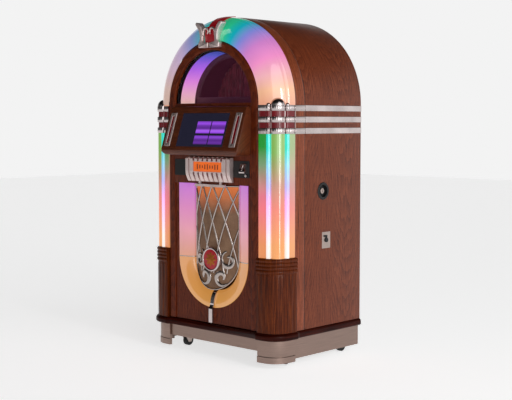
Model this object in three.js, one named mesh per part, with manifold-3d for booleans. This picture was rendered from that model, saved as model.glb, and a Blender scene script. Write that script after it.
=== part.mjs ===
// Arch-topped jukebox: a veneered cabinet on casters with a hinged front door.
// Millimetres, +X to the cabinet's left-to-right as seen from the front, +Y to the back, +Z up.
// The solids are laid out with Y = 0 near the door's face and moved to the centred origin at the end.
import * as THREE from 'three';
import { mergeVertices } from 'three/addons/utils/BufferGeometryUtils.js';
import Module from 'manifold-3d';

const wasm = await Module();
wasm.setup();

// ---------------------------------------------------------------- driving dimensions
const HALF_WIDTH = 391; // cabinet side face from the centre plane
const SPRING_Z = 1142; // height where the arch starts
const BACK_Y = 564; // rearmost face of the back panel
const GAP = 0.3; // clearance between pieces that touch
const ARCH_STEPS = 36; // facets of every arch, so neighbours stay parallel

const WOOD_T = 18; // cabinet panel
const BACK_T = 12; // back panel, set in between the shell's sides
const SEAM_Y = 171; // seam between side veneer and front bead
const BEAD_Y = 111; // front of the wooden bead

const MOULDING_Z = 126; // underside of the base moulding
const MOULDING_H = 33;
const MOULDING_TOP = MOULDING_Z + MOULDING_H;
const MOULDING_OUT = 11; // how far the moulding stands out from the pillar's outline
const MOULDING_IN = 40;

const KICK_INSET = 6; // kick plates stand in from the cabinet's faces
const KICK_T = 5;
const FRONT_KICK_Z = 74;
const SIDE_KICK_Z = 37;
const CORNER_FOOT_Z = 27;
const CORNER_STEP_Z = 55;
const CORNER_STRAIGHT = 5; // casting reaches this far along the front

const DOOR_HALF = HALF_WIDTH - 111; // outer half width of the door
const DOOR_FRONT = -10;
const DOOR_BACK = 22;
const DOOR_GAP = 3; // clearance around the door
const FRAME_R = DOOR_HALF - 40; // inner edge of the door's arch
const WINDOW_R = FRAME_R - 6; // clear window inside the rabbet
const WINDOW_SILL = SPRING_Z + 6;
const RABBET_Y = 6;
const GLASS_T = 4;

const CORNER_X = DOOR_HALF + DOOR_GAP + GAP; // corner curve starts here, beside the door
const CORNER_Y = BEAD_Y - 1; // and ends here, beside the bead
const CORNER_RX = HALF_WIDTH - 3 - CORNER_X;
const CORNER_RY = CORNER_Y + 8;
const PILLAR_OUT = 12; // the wooden pillars below the lenses stand out from that curve
const PILLAR_POWER = 0.68; // below 1 their outline is fuller than an ellipse
const CASTING_OUT = -9; // corner castings follow the pillars, set in under them

const LENS_Z = 482; // pilaster lens stands on the socket
const BAND_Z = SPRING_Z - 128; // chrome bands stand on the lens
const BAND_H = 25;
const BAND_PITCH = 49;
const SKIN_T = 4; // moulded plastic skins
const LOBE_T = 47.5; // place of the central lobe on the corner curve, degrees
const LOBE_SPAN = 15; // half its width, degrees
const LOBE_OUT = 24;
const TUBE_R = 10;
const TUBE_OUT = 1; // tube axis outside the corner curve
const TUBE_T = [LOBE_T - 21, LOBE_T + 21]; // tube places on the corner curve, degrees
const TUBE_SPAN = 5.4; // half the width of the bulge over a tube, degrees
const DOME_R = 31;

const CASTER_X = HALF_WIDTH - 82;
const CASTER_Y = [118, BACK_Y - 56];
const BEARER_HALF_X = CASTER_X + 51;
const WHEEL_R = 25;
const WHEEL_W = 20;
const CASTER_TRAIL = 18;
const FORK_TOP = 76;
const BEARER_HALF_Y = 42;

const CONSOLE_HALF = FRAME_R - 2;
const CONSOLE_Z = [SPRING_Z - 224, SPRING_Z - 8];
const FACE_BOTTOM = [-92, CONSOLE_Z[0] + 38.5]; // foot of the screen: y, z
const FACE_TOP = [-41, CONSOLE_Z[1] - 30];
const SCREEN_HALF = 146.5;
const SCREEN_T = 8;
const BAR_X = CONSOLE_HALF - 34;
const BAR_HALF = 18;
const BAR_SLOT = 6.5; // half width of the groove down each bar
const PLATE_Z = [CONSOLE_Z[0] - 95, CONSOLE_Z[0] - 22]; // black service plate behind the selector
const PLATE_HALF = FRAME_R - 6;
const SELECTOR_HALF = 139;
const SELECTOR_Z = [CONSOLE_Z[0] - 118, CONSOLE_Z[0] - 9];
const SELECTOR_FRONT = -38;
const LIT_HALF = 88; // lit selector window
const RIB_PITCH = 2 * LIT_HALF / 6; // ribs above and below it
const RIB_GROOVE = 5.5; // half width of the grooves between them
const LIT_Z = [SELECTOR_Z[0] + 45, SELECTOR_Z[0] + 87];
const RAIL_HALF = 94; // rail under the selector
const RAIL_H = 11;
const POST_X = 65;
const COIN_X = [PLATE_HALF - 44, PLATE_HALF - 12];
const COIN_Z = [SELECTOR_Z[0] + 44, SELECTOR_Z[0] + 85];
const REJECT = [PLATE_HALF - 16, PLATE_Z[0] + 10]; // reject button: x, z
const REJECT_R = 6;

const U_R_OUT = FRAME_R - 23; // lit U-shaped lens around the grille
const U_R_IN = U_R_OUT - 78;
const U_CENTRE_Z = MOULDING_TOP + 74 + U_R_OUT;
const U_TOP = SELECTOR_Z[0] - 12;
const U_FRONT = -4;
const U_DEPTH = 35;
const PANEL_FRONT = U_FRONT; // lower wood panel, set back from the stiles
const BOW_SAG = U_DEPTH; // the grille bows forward by this much
const GRILLE_R = U_R_IN - 5;
const ROD_R = 4;
const SCROLL_R = 5.5;
const TRIM_HALF = 11;
const BADGE_R = 55;

const STRIP_T = 2.5; // side strips continue the bands
const LOCK = [295, 761]; // lock cup centre: y, z
const LOCK_FLANGE_R = 39;
const LOCK_R = 30;
const DIAL = [317.5, 542]; // small control plate centre: y, z
const DIAL_HALF = [28.5, 36.5];
const PLATE_DEPTH = 3;

const TUNNEL_R = FRAME_R; // display behind the window
const TUNNEL_T = 6;
const TUNNEL_Y = [DOOR_BACK + 3, 300];
const CURTAIN_Y = TUNNEL_Y[1] - 38;

// ---------------------------------------------------------------- building helpers
const RAD = Math.PI / 180;
const sin = (deg) => Math.sin(deg * RAD);
const cos = (deg) => Math.cos(deg * RAD);
const steps = (from, to, count) => (
  Array.from({ length: count + 1 }, (_, i) => from + ((to - from) * i) / count)
);

/** Solid from flat arrays, turned to face outward. */
function fromArrays(points, triangles) {
  let volume = 0;
  for (let i = 0; i < triangles.length; i += 3) {
    const [a, b, c] = [0, 1, 2].map((k) => points.slice(3 * triangles[i + k], 3 * triangles[i + k] + 3));
    volume += a[0] * (b[1] * c[2] - b[2] * c[1]) + a[1] * (b[2] * c[0] - b[0] * c[2])
      + a[2] * (b[0] * c[1] - b[1] * c[0]);
  }
  const ordered = volume < 0 ? triangles.slice().reverse() : triangles;
  return new wasm.Manifold(new wasm.Mesh({
    numProp: 3,
    vertProperties: new Float32Array(points),
    triVerts: new Uint32Array(ordered),
  }));
}

/** Solid from a closed three.js geometry. */
function solid(geometry) {
  const bare = new THREE.BufferGeometry();
  bare.setAttribute('position', geometry.getAttribute('position'));
  if (geometry.index) bare.setIndex(geometry.index);
  const merged = mergeVertices(bare, 1e-3);
  const index = Array.from(merged.index.array);
  const kept = [];
  for (let i = 0; i < index.length; i += 3) {
    const [a, b, c] = index.slice(i, i + 3);
    if (a !== b && b !== c && c !== a) kept.push(a, b, c);
  }
  return fromArrays(Array.from(merged.getAttribute('position').array), kept);
}

function extruded(points, depth, holes) {
  const shape = new THREE.Shape(points.map(([x, y]) => new THREE.Vector2(x, y)));
  for (const hole of holes) {
    shape.holes.push(new THREE.Path(hole.map(([x, y]) => new THREE.Vector2(x, y))));
  }
  return new THREE.ExtrudeGeometry(shape, { depth, bevelEnabled: false });
}

/** Plate drawn in x, z and extruded along Y. */
const frontPlate = (points, y, holes = []) => solid(extruded(points, y[1] - y[0], holes)
  .rotateX(Math.PI / 2).translate(0, y[1], 0));

/** Plate drawn in x, y and extruded along Z. */
const planPlate = (points, z, holes = []) => solid(extruded(points, z[1] - z[0], holes).translate(0, 0, z[0]));

/** Plate drawn in y, z and extruded along X. */
const SIDE_TURN = new THREE.Matrix4().makeBasis(
  new THREE.Vector3(0, 1, 0),
  new THREE.Vector3(0, 0, 1),
  new THREE.Vector3(1, 0, 0),
);
const sidePlate = (points, x, holes = []) => solid(extruded(points, x[1] - x[0], holes)
  .applyMatrix4(SIDE_TURN).translate(x[0], 0, 0));

const block = (x, y, z) => solid(new THREE.BoxGeometry(x[1] - x[0], y[1] - y[0], z[1] - z[0])
  .translate((x[0] + x[1]) / 2, (y[0] + y[1]) / 2, (z[0] + z[1]) / 2));

const sphere = (radius, [x, y, z]) => solid(new THREE.SphereGeometry(radius, 16, 10).translate(x, y, z));

/** Round bar along an axis: 'x', 'y' or 'z', starting at the given point. */
function rod(axis, radius, start, length, sides = 20) {
  const geometry = new THREE.CylinderGeometry(radius, radius, length, sides).translate(0, length / 2, 0);
  if (axis === 'x') geometry.rotateZ(-Math.PI / 2);
  if (axis === 'z') geometry.rotateX(Math.PI / 2);
  return solid(geometry.translate(...start));
}

/** Turned piece about an axis through a point: the profile is radius, distance along the axis. */
function turned(axis, profile, start, sides = 28) {
  const geometry = new THREE.LatheGeometry(profile.map(([r, h]) => new THREE.Vector2(r, h)), sides);
  if (axis === 'x') geometry.rotateZ(-Math.PI / 2);
  if (axis === 'z') geometry.rotateX(Math.PI / 2);
  return solid(geometry.translate(...start));
}

/** Flat closed profile carried through stations: place(u, v, station, i) gives each point. */
function swept(profile, stations, place) {
  const outline = profile.map(([u, v]) => new THREE.Vector2(u, v));
  const order = profile.map((_, i) => i);
  if (THREE.ShapeUtils.area(outline) < 0) order.reverse();
  const n = order.length;
  const points = stations.flatMap((s) => order.flatMap((i) => place(profile[i][0], profile[i][1], s, i)));
  const triangles = [];
  for (let s = 0; s + 1 < stations.length; s += 1) {
    for (let i = 0; i < n; i += 1) {
      const a = s * n + i;
      const b = s * n + ((i + 1) % n);
      triangles.push(a, b, a + n, b, b + n, a + n);
    }
  }
  const last = (stations.length - 1) * n;
  for (const [a, b, c] of THREE.ShapeUtils.triangulateShape(order.map((i) => outline[i]), [])) {
    triangles.push(a, c, b, last + a, last + b, last + c);
  }
  return fromArrays(points, triangles);
}

const joined = (parts) => parts.reduce((whole, part) => whole.add(part));
const cut = (body, tools) => tools.reduce((whole, tool) => whole.subtract(tool), body);
const mirrored = (body) => body.mirror([1, 0, 0]);

/** Points of an arc about a centre, angles in degrees. */
const arc = (cx, cy, r, from, to, count) => (
  steps(from, to, count).map((a) => [cx + r * cos(a), cy + r * sin(a)])
);

/** Outline with straight sides and a half-round top about the arch centre. */
const archOutline = (half, bottom) => (
  [[half, bottom], ...arc(0, SPRING_Z, half, 0, 180, ARCH_STEPS), [-half, bottom]]
);

/** Outline with straight sides and a half-round bottom about the U centre. */
const uOutline = (half, top) => [[-half, top], ...arc(0, U_CENTRE_Z, half, 180, 360, ARCH_STEPS), [half, top]];

/** Point on the rounded front corner, t from 0 by the door to 90 by the bead. */
const corner = (t, out) => [CORNER_X + (CORNER_RX + out) * sin(t), CORNER_Y - (CORNER_RY + out) * cos(t)];

/** Point on the fuller outline of the wooden pillar under the lens, t as for the corner. */
const pillar = (t, out) => [
  CORNER_X + (CORNER_RX + PILLAR_OUT + out) * sin(t) ** PILLAR_POWER,
  CORNER_Y - (CORNER_RY + PILLAR_OUT + out) * cos(t) ** PILLAR_POWER,
];

/** Footprint of the cabinet, right side to left side around the front; the pillars swell at both corners. */
function footprint(out, back) {
  const side = HALF_WIDTH - 3 + out;
  const ease = PILLAR_OUT + 2;
  const right = [[side, back], [side, CORNER_Y + ease], ...steps(90, 0, 16).map((t) => pillar(t, out)),
    [CORNER_X - ease, corner(0, out)[1]]];
  return [...right, ...right.map(([x, y]) => [-x, y]).reverse()];
}

/** Arch place: u is the radius, v the depth, the station its angle. */
const onArch = (u, v, angle) => [u * cos(angle), v, SPRING_Z + u * sin(angle)];

/** Forward bow of the grille at x. */
const BOW_R = (U_R_IN ** 2 + BOW_SAG ** 2) / (2 * BOW_SAG);
const bow = (x) => U_DEPTH + U_FRONT - BOW_SAG + BOW_R - Math.sqrt(BOW_R ** 2 - x ** 2);

// ---------------------------------------------------------------- cabinet
const makeShell = () => {
  const body = frontPlate(archOutline(HALF_WIDTH, MOULDING_TOP + GAP), [SEAM_Y + GAP, BACK_Y])
    .subtract(frontPlate(archOutline(HALF_WIDTH - WOOD_T, MOULDING_TOP - 1), [SEAM_Y - 1, BACK_Y + 1]));
  const [y, z] = DIAL;
  const [a, b] = [DIAL_HALF[0] + GAP, DIAL_HALF[1] + GAP];
  return cut(body, [
    rod('x', LOCK_R + 1, [HALF_WIDTH - WOOD_T - 5, ...LOCK], WOOD_T + 10, 28),
    block([HALF_WIDTH - PLATE_DEPTH - GAP, HALF_WIDTH + 5], [y - a, y + a], [z - b, z + b]),
    rod('x', 5, [HALF_WIDTH - WOOD_T - 5, y, z], WOOD_T + 10, 12),
  ]);
};

const makeBead = () => {
  const inner = HALF_WIDTH - WOOD_T;
  const profile = [[inner, SEAM_Y], [HALF_WIDTH, SEAM_Y], [HALF_WIDTH, 150], [HALF_WIDTH - 1, 132],
    [HALF_WIDTH - 3, 119], [HALF_WIDTH - 6, 113], [HALF_WIDTH - 9, BEAD_Y], [inner, BEAD_Y]];
  const foot = MOULDING_TOP + GAP;
  const stations = [-1, ...steps(0, 180, ARCH_STEPS), 181];
  return swept(profile, stations, (u, v, a) => {
    if (a < 0) return [u, v, foot];
    if (a > 180) return [-u, v, foot];
    return onArch(u, v, a);
  });
};

const makeBack = () => {
  const y = [BACK_Y - BACK_T, BACK_Y];
  // the foot reaches down between the mouldings to the base frame
  const half = CORNER_X + CORNER_RX - MOULDING_IN - GAP;
  return joined([
    frontPlate(archOutline(HALF_WIDTH - WOOD_T - GAP, MOULDING_TOP + GAP), y),
    block([-half, half], y, [MOULDING_Z + WOOD_T + GAP, MOULDING_TOP + 1]),
  ]);
};

const makeBaseFrame = () => joined([
  planPlate(footprint(-MOULDING_IN - GAP, BACK_Y), [MOULDING_Z, MOULDING_Z + WOOD_T]),
  ...CASTER_Y.map((y) => block(
    [-BEARER_HALF_X, BEARER_HALF_X],
    [y - BEARER_HALF_Y, y + BEARER_HALF_Y],
    [FORK_TOP + GAP, MOULDING_Z],
  )),
]);

const makeMoulding = () => {
  const [low, high] = [MOULDING_Z + GAP, MOULDING_TOP];
  const profile = [[-MOULDING_IN, low], [MOULDING_OUT - 7, low], [MOULDING_OUT - 2, low + 3],
    [MOULDING_OUT, low + 10], [MOULDING_OUT, high - 12], [MOULDING_OUT - 2, high - 4], [MOULDING_OUT - 6, high],
    [-MOULDING_IN, high]];
  const path = footprint(0, BACK_Y);
  const rim = footprint(1, BACK_Y);
  return swept(profile, path.map((_, i) => i), (u, v, i) => [
    path[i][0] + (rim[i][0] - path[i][0]) * u, path[i][1] + (rim[i][1] - path[i][1]) * u, v]);
};

const KICK_TOP = MOULDING_Z - GAP;
const KICK_OUT = -KICK_INSET;

const makeFrontKick = () => {
  const half = CORNER_X - CORNER_STRAIGHT - 1;
  const face = corner(0, KICK_OUT)[1];
  return block([-half, half], [face, face + KICK_T], [FRONT_KICK_Z, KICK_TOP]);
};

const makeSideKick = () => {
  const face = corner(90, KICK_OUT)[0];
  return block([face - KICK_T, face], [CORNER_Y + 2, BACK_Y], [SIDE_KICK_Z, KICK_TOP]);
};

/** Curved shoe under the pillar, its ends returned to the planes of the kick plates. */
const makeCornerCasting = () => {
  const near = CORNER_X - CORNER_STRAIGHT;
  const front = corner(0, KICK_OUT)[1] + KICK_T;
  const side = corner(90, KICK_OUT)[0] - KICK_T;
  const inner = CASTING_OUT - KICK_T;
  const wall = (out, z) => planPlate([
    [near, front], [near, pillar(0, out)[1]], ...steps(0, 90, 14).map((t) => pillar(t, out)), [side, CORNER_Y],
    [side, CORNER_Y - KICK_T], ...steps(80, 0, 12).map((t) => pillar(t, inner)),
    [near + KICK_T, pillar(0, inner)[1]], [near + KICK_T, front],
  ], z);
  return joined([
    wall(CASTING_OUT, [CORNER_STEP_Z - 3, KICK_TOP]),
    wall(CASTING_OUT + 2, [CORNER_FOOT_Z, CORNER_STEP_Z]),
  ]);
};

const makeFork = () => {
  const cheek = [[-14, 66], [-16, 58], [CASTER_TRAIL - 9, 17], [CASTER_TRAIL + 9, 17], [CASTER_TRAIL + 12, 30],
    [14, 58], [14, 66]];
  const half = WHEEL_W / 2 + 1;
  return joined([
    rod('z', 23, [0, 0, 62], FORK_TOP - 62, 20),
    sidePlate(cheek, [half, half + 3]),
    sidePlate(cheek, [-half - 3, -half]),
    rod('x', 3.9, [-half - 2, CASTER_TRAIL, WHEEL_R], 2 * half + 4, 16),
  ]);
};

const makeWheel = () => {
  const facets = 20;
  const tip = WHEEL_R / cos(180 / facets);
  const start = 180 / facets - 90;
  const rim = arc(CASTER_TRAIL, WHEEL_R, tip, start, start + 360 - 360 / facets, facets - 1);
  const bore = arc(CASTER_TRAIL, WHEEL_R, 4.2, 0, 337.5, 15);
  return sidePlate(rim, [-WHEEL_W / 2, WHEEL_W / 2], [bore]);
};

// ---------------------------------------------------------------- pilasters
/** Extra reach of the lobe outside the corner curve. */
const lobe = (t) => {
  const s = (t - LOBE_T) / LOBE_SPAN;
  return Math.abs(s) < 1 ? LOBE_OUT * Math.sqrt(1 - s * s) : 0;
};
const LOBE_STEPS = steps(LOBE_T - LOBE_SPAN, LOBE_T + LOBE_SPAN, 8);
const FLANK_STEPS = [0, 6, 12, 18, 22];
const CURVE_STEPS = [...FLANK_STEPS, ...LOBE_STEPS, ...FLANK_STEPS.map((t) => 90 - t).reverse()];

const makeTubes = (extra) => {
  const ends = TUBE_T.map((t) => corner(t, TUBE_OUT));
  const foot = LENS_Z - 22 - extra;
  const tubes = ends.map(([x, y]) => rod('z', TUBE_R + extra, [x, y, foot], BAND_Z - GAP - foot, 12));
  const [[x0, y0], [x1, y1]] = ends;
  const length = Math.hypot(x1 - x0, y1 - y0);
  const turn = Math.atan2(y1 - y0, x1 - x0);
  const bar = solid(new THREE.BoxGeometry(length, 8 + 2 * extra, 10 + 2 * extra).rotateZ(turn)
    .translate((x0 + x1) / 2, (y0 + y1) / 2, foot + 5 + extra));
  return joined([...tubes, bar]);
};

const makePilasterLens = () => {
  const outer = CURVE_STEPS.map((t) => corner(t, lobe(t)));
  const pocket = TUBE_OUT - TUBE_R - GAP - SKIN_T; // skin behind each tube
  const crown = LOBE_OUT - SKIN_T - 0.5;
  const half = [[42.5, -SKIN_T], [30.5, -SKIN_T], [28.5, pocket], [14.5, pocket], [12.5, 4],
    [6.5, crown - 2.5]];
  const inner = [
    ...half.map(([from, out]) => [LOBE_T + from, out]),
    [LOBE_T, crown],
    ...half.map(([from, out]) => [Math.max(LOBE_T - from, 0), out]).reverse(),
    [0, -SKIN_T],
  ].filter(([t], i, list) => i === 0 || t !== list[i - 1][0]).map(([t, out]) => corner(t, out));
  return planPlate([...outer, ...inner], [LENS_Z, BAND_Z - GAP]).subtract(makeTubes(GAP));
};

/** Ring mouldings near the top of the wooden socket, and flutes below them. */
const SOCKET_FOOT = MOULDING_TOP + GAP;
const SOCKET_TOP = LENS_Z - GAP;
const RING_Z = [57, 41, 25, 9].map((below) => LENS_Z - below);
const socketOut = (z, t) => {
  for (const ring of RING_Z) {
    const s = (z - ring) / 7;
    if (Math.abs(s) < 1) return 1 + 4 * Math.sqrt(1 - s * s);
  }
  return z > RING_Z[0] - 10 ? 0 : 2.5 * Math.abs(sin(t * 20)) - 1;
};

const makeSocket = () => {
  const outer = steps(0, 90, 20);
  const inner = steps(90, 0, 6);
  const flat = [...outer.map((t) => pillar(t, 0)), ...inner.map((t) => corner(t, -15))];
  const rings = RING_Z.flatMap((z) => [z - 7, z - 4, z + 4, z + 7]);
  const stations = [SOCKET_FOOT, RING_Z[0] - 14, RING_Z[0] - 9, ...rings, SOCKET_TOP];
  const body = swept(flat, stations, (x, y, z, i) => {
    const point = i < outer.length ? pillar(outer[i], socketOut(z, outer[i])) : [x, y];
    return [...point, z];
  });
  return body.subtract(makeTubes(GAP));
};

/** Outer line of the chrome bands: over the lobe and over both tubes. */
const bandOut = (t) => Math.max(lobe(t), ...TUBE_T.map((at) => {
  const s = (t - at) / TUBE_SPAN;
  return Math.abs(s) < 1 ? (TUBE_OUT + TUBE_R) * Math.sqrt(1 - s * s) : 0;
}));
const TUBE_STEPS = TUBE_T.map((t) => [-1, -0.7, 0, 0.7, 1].map((k) => t + k * TUBE_SPAN));
const BAND_STEPS = [0, 8, 15, ...TUBE_STEPS[0], ...LOBE_STEPS, ...TUBE_STEPS[1], 80, 90];
const BAND_TOP = BAND_Z + 2 * BAND_PITCH + BAND_H;
const bandWall = (low, high, z) => planPlate([
  ...BAND_STEPS.map((t) => corner(t, bandOut(t) + high)),
  ...BAND_STEPS.map((t) => corner(t, bandOut(t) + low)).reverse(),
], z);

/** Everything inside the arch lens, grown by a clearance. */
const RIDGE_T = [64, 74]; // thin ridges moulded near the outer edge of the arch lens, degrees
const RIDGE_OUT = 2.5;
const LENS_STEPS = [...steps(0, 56, 5), 62, 64, 66, 72, 74, 76, 90];
const archStations = [-1, ...steps(0, 180, ARCH_STEPS), 181];
const onLens = (u, v, a) => {
  if (a < 0) return [u, v, BAND_TOP + GAP];
  if (a > 180) return [-u, v, BAND_TOP + GAP];
  return onArch(u, v, a);
};
const archFill = (out) => swept([...steps(0, 90, 9).map((t) => corner(t, out)), [CORNER_X, CORNER_Y]],
  archStations, onLens);

const makeArchLens = () => {
  const ridge = (t) => (RIDGE_T.includes(t) ? RIDGE_OUT : 0);
  const outer = LENS_STEPS.map((t) => corner(t, ridge(t)));
  const inner = steps(90, 0, 5).map((t) => corner(t, -SKIN_T));
  return swept([...outer, ...inner], archStations, onLens);
};

const SADDLE_OUT = [3.2, 6.4];
const makeSaddle = () => {
  const line = steps(3, 89, 9);
  const profile = [...line.map((t) => corner(t, SADDLE_OUT[1])),
    ...line.map((t) => corner(t, SADDLE_OUT[0])).reverse()];
  return swept(profile, steps(84.5, 95.5, 2), onArch);
};

const makeBands = () => {
  const zones = [0, 1].map((i) => [BAND_Z + i * BAND_PITCH + BAND_H, BAND_Z + (i + 1) * BAND_PITCH]);
  const between = [[CORNER_X, CORNER_Y], ...steps(3, 87, 8).map((t) => corner(t, 60))];
  const wall = cut(bandWall(-2, 3, [BAND_Z, BAND_TOP]), zones.map((z) => planPlate(between, z)));
  const lid = planPlate([...BAND_STEPS.map((t) => corner(t, bandOut(t) + 3)),
    ...steps(90, 0, 6).map((t) => corner(t, -18))], [BAND_TOP - 3, BAND_TOP]);
  const arms = [0, 1, 2].flatMap((i) => {
    const z = [BAND_Z + i * BAND_PITCH, BAND_Z + i * BAND_PITCH + BAND_H];
    return [
      block([HALF_WIDTH - 5, HALF_WIDTH + GAP + 3], [CORNER_Y - 6, CORNER_Y + 0.7], z),
      block([HALF_WIDTH + GAP, HALF_WIDTH + GAP + 3], [CORNER_Y - 6, SEAM_Y - 2], z),
    ];
  });
  const domes = [
    sphere(DOME_R, [...corner(LOBE_T, LOBE_OUT - DOME_R + 2), BAND_TOP - 1]),
    ...TUBE_T.map((t) => sphere(TUBE_R, [...corner(t, TUBE_OUT), BAND_TOP - 1])),
  ].map((body) => body.trimByPlane([0, 0, 1], BAND_TOP - 1).subtract(archFill(RIDGE_OUT + 1)));
  return joined([wall, lid, ...arms, ...domes]);
};

const makeSleeve = () => bandWall(-2 - GAP - 3, -2 - GAP, [BAND_Z, BAND_TOP - 3 - GAP]);

// ---------------------------------------------------------------- side fittings and interior
const makeStrip = (level) => {
  const z = BAND_Z + level * BAND_PITCH;
  return block([HALF_WIDTH + GAP, HALF_WIDTH + GAP + STRIP_T], [SEAM_Y + 1, BACK_Y], [z, z + BAND_H]);
};

const makeLockCup = () => turned('x', [
  [12.5, -16], [LOCK_R, -16], [LOCK_R, GAP], [LOCK_FLANGE_R, GAP], [LOCK_FLANGE_R - 2, GAP + STRIP_T],
  [LOCK_R - 3, GAP + STRIP_T], [LOCK_R - 4, -13], [12.5, -13], [12.5, -16],
], [HALF_WIDTH, ...LOCK]);

const makeLockBarrel = () => cut(rod('x', 12, [HALF_WIDTH - 24, ...LOCK], 20), [
  block([HALF_WIDTH - 7, HALF_WIDTH], [LOCK[0] - 1.5, LOCK[0] + 1.5], [LOCK[1] - 7, LOCK[1] + 7]),
]);

const makeDialPlate = () => {
  const [y, z] = DIAL;
  const [a, b] = DIAL_HALF;
  return block([HALF_WIDTH - PLATE_DEPTH, HALF_WIDTH + 0.5], [y - a, y + a], [z - b, z + b])
    .subtract(rod('x', 4.6, [HALF_WIDTH - 10, y, z], 20, 12));
};

const makeDialKnob = () => {
  const [y, z] = DIAL;
  const x = [HALF_WIDTH + 0.8, HALF_WIDTH + 4.8];
  return joined([
    rod('x', 4, [HALF_WIDTH - WOOD_T - 3, y, z], WOOD_T + 5, 12),
    rod('x', 10, [x[0], y, z], x[1] - x[0], 20),
    block(x, [y - 4, y + 4], [z, z + 22]),
    block(x, [y - 16, y + 4], [z + 15, z + 22]),
  ]);
};

/** Plate with an arched top and a flat foot at a height. */
const archPlate = (half, y, foot) => (
  frontPlate(archOutline(half, SPRING_Z - 30), y).trimByPlane([0, 0, 1], foot)
);

const makeTunnel = () => archPlate(TUNNEL_R, TUNNEL_Y, WINDOW_SILL - TUNNEL_T)
  .subtract(archPlate(TUNNEL_R - TUNNEL_T, [TUNNEL_Y[0] - 1, TUNNEL_Y[1] + 1], WINDOW_SILL));

const makeCurtain = () => {
  const half = TUNNEL_R - TUNNEL_T - 2;
  const xs = steps(-half, half, 57);
  const wave = (x) => CURTAIN_Y + 6 * sin((x / 24) * 360);
  const sheet = planPlate([...xs.map((x) => [x, wave(x)]), ...xs.map((x) => [x, wave(x) + 3]).reverse()],
    [WINDOW_SILL + 2, SPRING_Z + half]);
  return sheet.intersect(frontPlate(archOutline(half, SPRING_Z - 30), [CURTAIN_Y - 20, CURTAIN_Y + 20]));
};

// ---------------------------------------------------------------- door
const makeDoorFrame = () => {
  const body = frontPlate(archOutline(DOOR_HALF, MOULDING_TOP + DOOR_GAP), [DOOR_FRONT, DOOR_BACK]);
  return cut(body, [
    archPlate(FRAME_R, [DOOR_FRONT - 1, RABBET_Y], WINDOW_SILL),
    archPlate(WINDOW_R, [RABBET_Y - 1, DOOR_BACK + 1], WINDOW_SILL),
    block([-FRAME_R, FRAME_R], [DOOR_FRONT - 1, PANEL_FRONT], [MOULDING_TOP, U_TOP + 1]),
    frontPlate(uOutline(U_R_OUT + 1, U_TOP + 1), [DOOR_FRONT - 1, DOOR_BACK + 1]),
    rod('y', REJECT_R + 0.5, [REJECT[0], DOOR_FRONT - 1, REJECT[1]], 12, 16),
  ]);
};

const makeGlass = () => archPlate(FRAME_R - GAP, [RABBET_Y - GAP - GLASS_T, RABBET_Y - GAP], WINDOW_SILL + GAP);

/** Console face: y at height z, and placing of pieces drawn flat on the face. */
const FACE_RISE = FACE_TOP[1] - FACE_BOTTOM[1];
const FACE_RUN = FACE_TOP[0] - FACE_BOTTOM[0];
const FACE_LENGTH = Math.hypot(FACE_RISE, FACE_RUN);
const faceY = (z) => FACE_BOTTOM[0] + ((z - FACE_BOTTOM[1]) * FACE_RUN) / FACE_RISE;
const onFace = (body) => (
  body.rotate([-Math.atan2(FACE_RUN, FACE_RISE) / RAD, 0, 0]).translate([0, ...FACE_BOTTOM])
);
const facePocket = (x, depth, extra) => onFace(block([x[0] - extra, x[1] + extra], [-20, depth], [-extra,
  FACE_LENGTH + extra]));

const makeConsole = () => {
  const [low, high] = CONSOLE_Z;
  const back = DOOR_FRONT - GAP;
  const body = sidePlate([[back, low], [faceY(low + 20) + 12, low], [faceY(low + 20) + 3, low + 6],
    [faceY(low + 20), low + 20], [faceY(high - 8), high - 8], [faceY(high - 8) + 6, high], [back, high]],
  [-CONSOLE_HALF, CONSOLE_HALF]);
  const hollow = sidePlate([[back + 1, low + 14], [faceY(low + 28) + 18, low + 14],
    [faceY(low + 28) + 15, low + 28], [faceY(high - 24) + 15, high - 24], [back + 1, high - 18]],
  [-CONSOLE_HALF + 14, CONSOLE_HALF - 14]);
  const round = 25;
  const outline = frontPlate([...arc(-CONSOLE_HALF + round, low + round, round, 180, 270, 6),
    ...arc(CONSOLE_HALF - round, low + round, round, 270, 360, 6), [CONSOLE_HALF, high], [-CONSOLE_HALF, high]],
  [-140, 0]);
  return cut(body.intersect(outline), [
    hollow,
    facePocket([-SCREEN_HALF, SCREEN_HALF], SCREEN_T + 1 + GAP, GAP),
    ...[-BAR_X, BAR_X].map((x) => facePocket([x - BAR_HALF, x + BAR_HALF], 3 + GAP, GAP)),
  ]);
};

const makeScreen = () => onFace(block([-SCREEN_HALF, SCREEN_HALF], [1, 1 + SCREEN_T], [0, FACE_LENGTH]));

const makeConsoleBar = () => onFace(block([BAR_X - BAR_HALF, BAR_X + BAR_HALF], [-3, 3], [0, FACE_LENGTH])
  .subtract(block([BAR_X - BAR_SLOT, BAR_X + BAR_SLOT], [-4, -0.5], [14, FACE_LENGTH - 14])));

const PLATE_Y = [DOOR_FRONT - GAP - 3.5, DOOR_FRONT - GAP];
const makeServicePlate = () => block([-PLATE_HALF, PLATE_HALF], PLATE_Y, PLATE_Z)
  .subtract(rod('y', REJECT_R + 0.5, [REJECT[0], PLATE_Y[0] - 1, REJECT[1]], 6, 16));

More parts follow.
